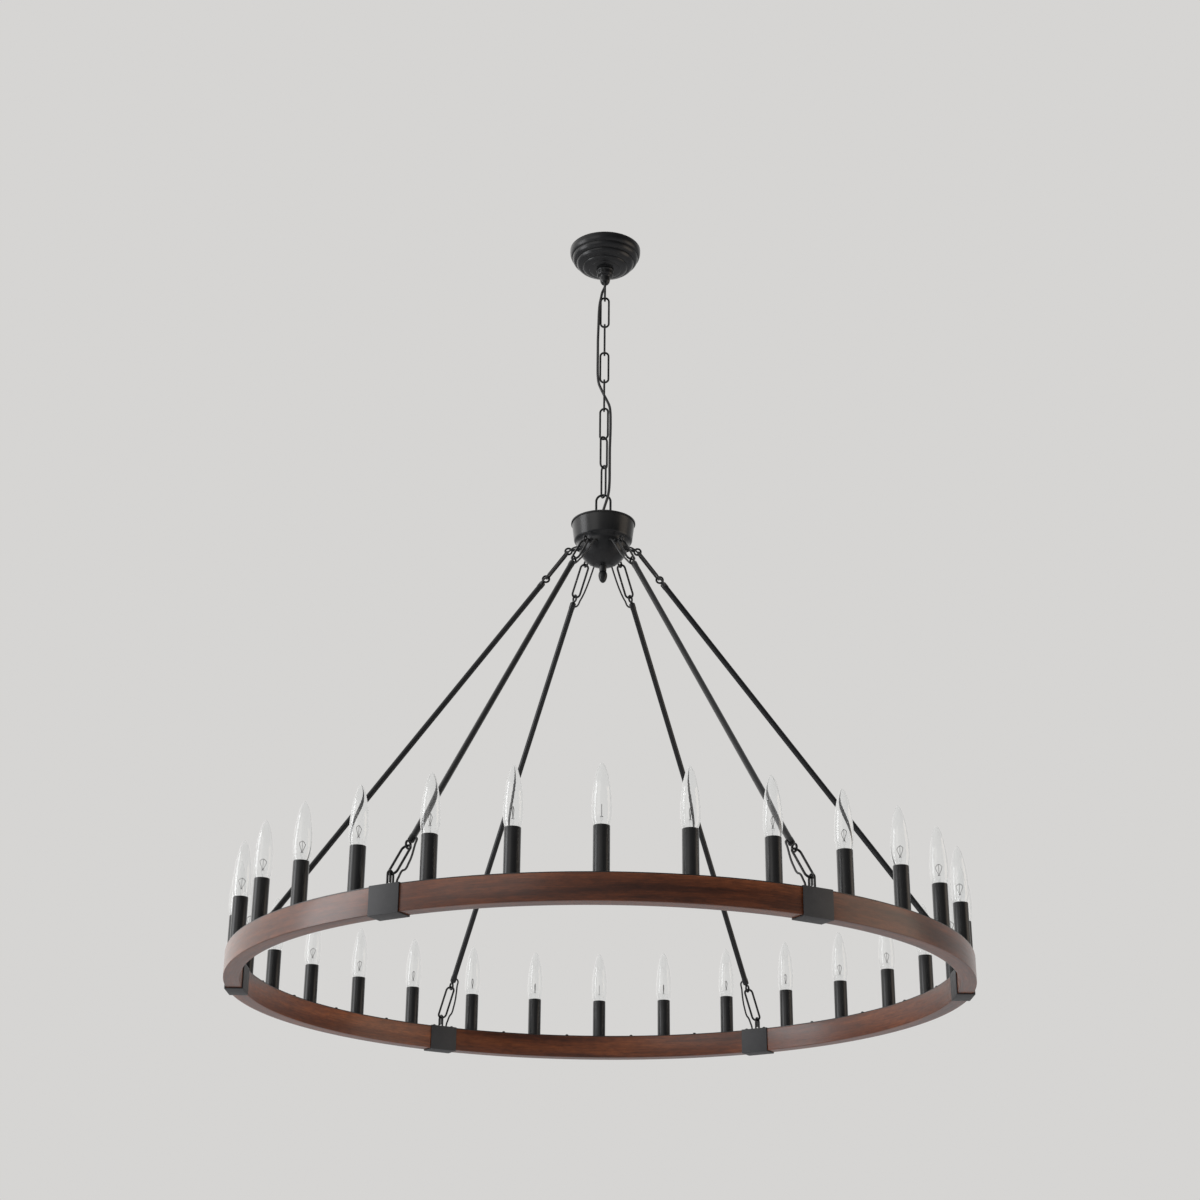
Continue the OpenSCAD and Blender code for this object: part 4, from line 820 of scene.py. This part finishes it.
def walnut_stain():
    """Dark walnut stain: grain, pores and broad figure laid round the wheel, each arc a little
    different."""
    material, surface, tree = new_material("walnut_stained_wood", Specular_IOR_Level=0.2,
                                           Coat_Weight=0.6, Coat_Roughness=0.24)

    def reckon(operation, *values):
        """A math node's result from sockets and numbers."""
        node = add(tree, "Math", operation=operation)
        for socket, value in zip(node.inputs, values):
            if isinstance(value, float):
                socket.default_value = value
            else:
                join(value, socket)
        return node.outputs[0]

    place = add(tree, "SeparateXYZ")
    join(add(tree, "TexCoord").outputs["Object"], place.inputs[0])
    x, y, z = place.outputs
    turn = reckon("ARCTAN2", y, x)
    flat = add(tree, "CombineXYZ")
    join(x, flat.inputs["X"])
    join(y, flat.inputs["Y"])
    across = add(tree, "VectorMath", operation="LENGTH")
    join(flat.outputs[0], across.inputs[0])
    chance = add(tree, "TexWhiteNoise", noise_dimensions="1D")
    join(reckon("FLOOR", reckon("MULTIPLY", turn, 1 / ARC)), chance.inputs["W"])
    own = chance.outputs["Value"]
    board = add(tree, "CombineXYZ")
    join(reckon("MULTIPLY", turn, RIM_R * MM), board.inputs["X"])
    join(across.outputs["Value"], board.inputs["Y"])
    join(reckon("MULTIPLY_ADD", own, BOARD_SHIFT, z), board.inputs["Z"])

    def along_grain(scale, **settings):
        """Noise on the board, with its scale along, across and up."""
        stretch = add(tree, "Mapping", Scale=scale)
        grain = add(tree, "TexNoise", Scale=1.0, **settings)
        join(board.outputs[0], stretch.inputs["Vector"])
        join(stretch.outputs[0], grain.inputs["Vector"])
        return grain.outputs["Fac"]

    figure = along_grain((2.2, 38, 30), Detail=4.0, Roughness=0.55, Distortion=0.6)
    fibre = along_grain((14, 900, 700), Detail=3.0, Roughness=0.6)
    flecks = along_grain((48, 260, 230), Detail=4.0, Roughness=0.7)
    blotch = along_grain((6, 12, 12), Detail=5.0, Roughness=0.7)
    pores = along_grain((60, 1700, 1500), Detail=1.0)
    dots = spread(pores, 1.0, 0.55, start=0.62, end=0.72)
    shade = spread(fibre, 0.72, 1.22, start=0.3, end=0.7)
    for layer in (spread(blotch, 0.84, 1.14, start=0.3, end=0.7),
                  spread(flecks, 0.74, 1.28, start=0.35, end=0.65),
                  spread(own, 0.86, 1.14), dots):
        shade = reckon("MULTIPLY", shade, layer)
    stained = add(tree, "VectorMath", operation="SCALE")
    join(ramp(figure, (0.32, STAIN_DARK), (0.70, STAIN_LIGHT), (0.5, STAIN_MIDDLE)),
         stained.inputs[0])
    join(shade, stained.inputs["Scale"])
    join(stained.outputs[0], surface["Base Color"])
    join(spread(fibre, 0.40, 0.54, start=0.3, end=0.7), surface["Roughness"])
    join(bump(dots, 0.25, 0.0003, below=bump(fibre, 0.35, 0.00025)), surface["Normal"])
    return material


WALNUT = walnut_stain()
deselect()
bpy.ops.mesh.primitive_plane_add(size=1)
arc = name_new("rim_arc")
arc.scale = ((RIM_OUT - RIM_IN) * MM, RIM_H * MM, 1)
arc.rotation_euler = (math.radians(90), 0, 0)
arc.location = (RIM_R * MM, 0, (RIM_Z - RIM_H / 2) * MM)
bpy.ops.object.transform_apply(location=True, rotation=True, scale=True)
edit_all()
groove_z = (RIM_Z - GROOVE_DEPTH) * MM
for x in (-GROOVE_W / 2, GROOVE_W / 2):
    bpy.ops.mesh.select_all(action="SELECT")
    bpy.ops.mesh.bisect(plane_co=((RIM_R + x) * MM, 0, 0), plane_no=(1, 0, 0))
bpy.ops.mesh.select_all(action="SELECT")
bpy.ops.mesh.bisect(plane_co=(0, 0, groove_z), plane_no=(0, 0, 1))
bpy.ops.object.mode_set(mode="OBJECT")
choose_faces(arc, lambda middle, normal: abs(middle.x - RIM_R * MM) < MM and middle.z > groove_z)
bpy.ops.mesh.delete(type="FACE")
bpy.ops.mesh.select_all(action="SELECT")
spin(ARC_STEPS, ARC - 2 * TRIM, (0, 0, 1))
weld()
close_edit()
soften(arc, RIM_EDGE, segments=3, angle=60)
for i, angle in enumerate(LEG_ANGLES):
    piece = copied(arc, f"rim_wood_{i + 1}", Matrix.Rotation(angle + TRIM, 4, "Z"))
    fit_piece(piece, WALNUT, "wheel", f"rim_arc_{i + 1}")
bpy.data.objects.remove(arc)

# ---------------------------------------------------------------- brackets
# Six sleeves of folded 2 mm sheet steel over the joints of the arcs, powder
# coated, each with a bent wire eye welded on top for the leg's lower link.
BRACKET_LEN, BRACKET_T, FIT = 52.0, 2.0, 0.1
SAG = RIM_IN - math.sqrt(RIM_IN ** 2 - (BRACKET_LEN / 2) ** 2)
BRACKET_IN, BRACKET_OUT = (RIM_OUT - RIM_IN) / 2 + SAG + FIT, (RIM_OUT - RIM_IN) / 2 + FIT
BRACKET_W = BRACKET_IN + BRACKET_OUT + 2 * BRACKET_T
BRACKET_H = RIM_H + 2 * FIT + 2 * BRACKET_T
FACING = 0.9  # least part of a normal along an axis for a face that faces that way
POWDER = black_paint("black_powder_coat", dark=(0.030, 0.030, 0.032, 1),
                     light=(0.044, 0.044, 0.046, 1), smooth=0.46, rough=0.62)
deselect()
bpy.ops.mesh.primitive_cube_add(size=1)
bracket = name_new("bracket")
bracket.scale = (BRACKET_W * MM, BRACKET_LEN * MM, BRACKET_H * MM)
bracket.location = ((RIM_R + (BRACKET_OUT - BRACKET_IN) / 2) * MM, 0, (RIM_Z - RIM_H / 2) * MM)
bpy.ops.object.transform_apply(location=True, rotation=True, scale=True)
choose_faces(bracket, lambda middle, normal: abs(normal.y) > FACING)
bpy.ops.mesh.delete(type="FACE")
bpy.ops.object.mode_set(mode="OBJECT")
sheet = bracket.modifiers.new("sheet", "SOLIDIFY")
sheet.thickness, sheet.offset, sheet.use_even_offset = BRACKET_T * MM, -1, True
bpy.ops.object.modifier_apply(modifier=sheet.name)
soften(bracket, 0.7, segments=3)
staple = wire_ring("staple", STAPLE_R, STAPLE_WIRE)
turn_in_place(staple, moved(RIM_R, 0, STAPLE_Z))
cut_off(staple, STAPLE_Z, -1)
choose_faces(staple, lambda middle, normal: normal.z < -FACING)
draw_out(0, RIM_Z + FIT + BRACKET_T - STAPLE_Z)
bpy.ops.object.mode_set(mode="OBJECT")
soften(staple)
for i, angle in enumerate(LEG_ANGLES):
    turn = Matrix.Rotation(angle, 4, "Z")
    fit_piece(copied(bracket, f"bracket_{i + 1}", turn), POWDER, "wheel",
              f"rim_bracket_{i + 1}")
    fit_piece(copied(staple, f"bracket_eye_{i + 1}", turn), BLACK, "wheel",
              "bracket_eyes")
bpy.data.objects.remove(bracket)
bpy.data.objects.remove(staple)

# Cover strips over the wiring groove with their screws, and the loom in it.
finish_node(BLACK, "channel_covers", "rim_screws")
finish_node(JACKET, "rim_wiring")

# ---------------------------------------------------------------- candles
# Thirty sleeves of rolled and painted steel tube, each over a moulded
# lampholder on a threaded stem that two nuts hold to the cover strip.
SLEEVE_R, SLEEVE_T, SLEEVE_H, COVER_T = 12.0, 1.0, 68.0, 1.2
SLEEVE_Z = RIM_Z + SEAT + COVER_T + SEAT
CANDLES_PER_ARC = 5
CANDLE_ANGLES = [math.radians(-120 + 60 * i + 60 * (k + 0.5) / CANDLES_PER_ARC)
                 for i in range(6) for k in range(CANDLES_PER_ARC)]
sleeve = soften(turned("sleeve", [
    (SLEEVE_R - SLEEVE_T, 0), (SLEEVE_R - 0.15, 0), (SLEEVE_R, 0.15),
    (SLEEVE_R, SLEEVE_H - 0.5), (SLEEVE_R - 0.15, SLEEVE_H - 0.15), (SLEEVE_R - 0.5, SLEEVE_H),
    (SLEEVE_R - SLEEVE_T, SLEEVE_H), (SLEEVE_R - SLEEVE_T, 0)], sides=64))


def at_candle(angle, height):
    """The place of a candle, at a height in mm."""
    return Matrix.Rotation(angle, 4, "Z") @ moved(RIM_R, 0, height)


for i, angle in enumerate(CANDLE_ANGLES):
    fit_piece(copied(sleeve, f"candle_sleeve_{i + 1:02d}", at_candle(angle, SLEEVE_Z)), BLACK,
              "wheel", "candle_sleeves")
bpy.data.objects.remove(sleeve)
finish_node(PHENOLIC, "lampholders")
finish_node(ZINC, "lampholder_stems", "stem_nuts")

# ---------------------------------------------------------------- bulbs
# Thirty clear torpedo candle lamps: a thin blown envelope, a drawn glass
# stem with its lead-in wires and filament, and a rolled screw base.
BULB_R, BULB_H, BULB_BELLY, GLASS_T = 14.3, 93.0, 22.0, 0.4
BULB_NECK_R, BULB_NECK_Z = 5.75, -6.0
BULB_Z = SLEEVE_Z + SLEEVE_H
LOW_RINGS = 12
HIGH_RINGS = (0, 0.08, 0.16, 0.24, 0.32, 0.4, 0.48, 0.56, 0.63, 0.7, 0.76, 0.82, 0.87, 0.915,
              0.95, 0.975, 0.99, 0.997)
STEM_TOP, FILAMENT_Z, FILAMENT_HALF = 14.0, 27.0, 5.5
LEAD_WIRE, ANCHOR_WIRE, FILAMENT_WIRE, FINE_SIDES = 0.7, 0.6, 0.8, 8


def clear_glass():
    """Clear blown glass with a faint waviness."""
    material, surface, tree = new_material(
        "clear_glass", Base_Color=(0.99, 0.995, 0.995, 1), Transmission_Weight=1.0,
        Roughness=0.0, IOR=1.46, Specular_IOR_Level=0.13)
    join(bump(noise(tree, Scale=55.0, Detail=1.0), 0.006, 0.001), surface["Normal"])
    return material


def glass_radius(z):
    """The envelope's outer radius at a height over the sleeve's top."""
    if z < BULB_BELLY:
        t = (BULB_BELLY - z) / (BULB_BELLY - BULB_NECK_Z)
        return between(BULB_R, BULB_NECK_R, 1 - (1 - t ** 2.2) ** 0.62)
    t = (z - BULB_BELLY) / (BULB_H - BULB_BELLY)
    return BULB_R * max(1 - t ** 1.85, 0) ** 0.6


def glass_profile(inset):
    """The envelope's outline from neck to tip, with rings closer together near the tip."""
    points = []
    for k in range(LOW_RINGS):
        z = between(BULB_NECK_Z, BULB_BELLY, k / LOW_RINGS)
        points.append((glass_radius(z) - inset, z))
    for t in HIGH_RINGS:
        z = between(BULB_BELLY, BULB_H, t)
        points.append((max(glass_radius(z) - inset, 0.3), z - inset * t * t))
    return points + [(0, BULB_H - inset)]


GLASS = clear_glass()
# Nickel leads and tungsten filament: dull grey drawn wire.
LEAD = plain_finish("lead_wire", dict(Scale=900.0, Detail=2.0), dark=(0.030, 0.030, 0.030, 1),
                    light=(0.080, 0.076, 0.072, 1), rough=0.4, metallic=1.0)
# Rolled brass of the base, brighter and browner in patches.
BRASS = plain_finish("rolled_brass", dict(Scale=300.0, Detail=4.0), dark=(0.42, 0.27, 0.10, 1),
                     light=(0.78, 0.60, 0.30, 1), rough=(0.22, 0.40), metallic=1.0)
outer, inner = glass_profile(0), glass_profile(GLASS_T)
envelope = soften(turned("envelope", outer + inner[::-1][1:] + outer[:1], sides=40))
stem = soften(turned("glass_stem", [
    (0, BULB_NECK_Z), (4.2, BULB_NECK_Z), (3.8, -4.6), (3.4, -3), (2.8, -0.5), (2.3, 2),
    (1.9, 6.5), (1.7, 11), (2.0, 12.2), (2.2, 13), (2.1, 13.6), (1.6, STEM_TOP), (0, STEM_TOP)],
    sides=24))
foot, crown = STEM_TOP - 0.4, FILAMENT_Z + 4
wires = [swept("lead", [(side * 0.8, 0, foot), (side * 1.6, 0, 17), (side * 4.4, 0, 23),
                        (side * FILAMENT_HALF, 0, FILAMENT_Z)], LEAD_WIRE, FINE_SIDES)
         for side in (-1, 1)]
wires.append(swept("anchor", [(0, 0, foot), (0, 0, 20), (0, 0, crown)], ANCHOR_WIRE, FINE_SIDES))
wires.append(swept("filament", [
    (-FILAMENT_HALF, 0, FILAMENT_Z), (-2.8, 0, FILAMENT_Z + 2.6), (0, 0, crown),
    (2.8, 0, FILAMENT_Z + 2.6), (FILAMENT_HALF, 0, FILAMENT_Z)], FILAMENT_WIRE, FINE_SIDES))
mount = join_pieces("filament_mount", [soften(wire) for wire in wires])
for i, angle in enumerate(CANDLE_ANGLES):
    place = at_candle(angle, BULB_Z)
    for model, name, material, node in (
            (envelope, "bulb_glass", GLASS, "bulb_glass"),
            (stem, "bulb_stem", GLASS, "bulb_filaments"),
            (mount, "bulb_wires", LEAD, "bulb_filaments")):
        fit_piece(copied(model, f"{name}_{i + 1:02d}", place), material, "bulbs",
                  node)
for model in (envelope, stem, mount):
    bpy.data.objects.remove(model)
finish_node(BRASS, "bulb_bases")
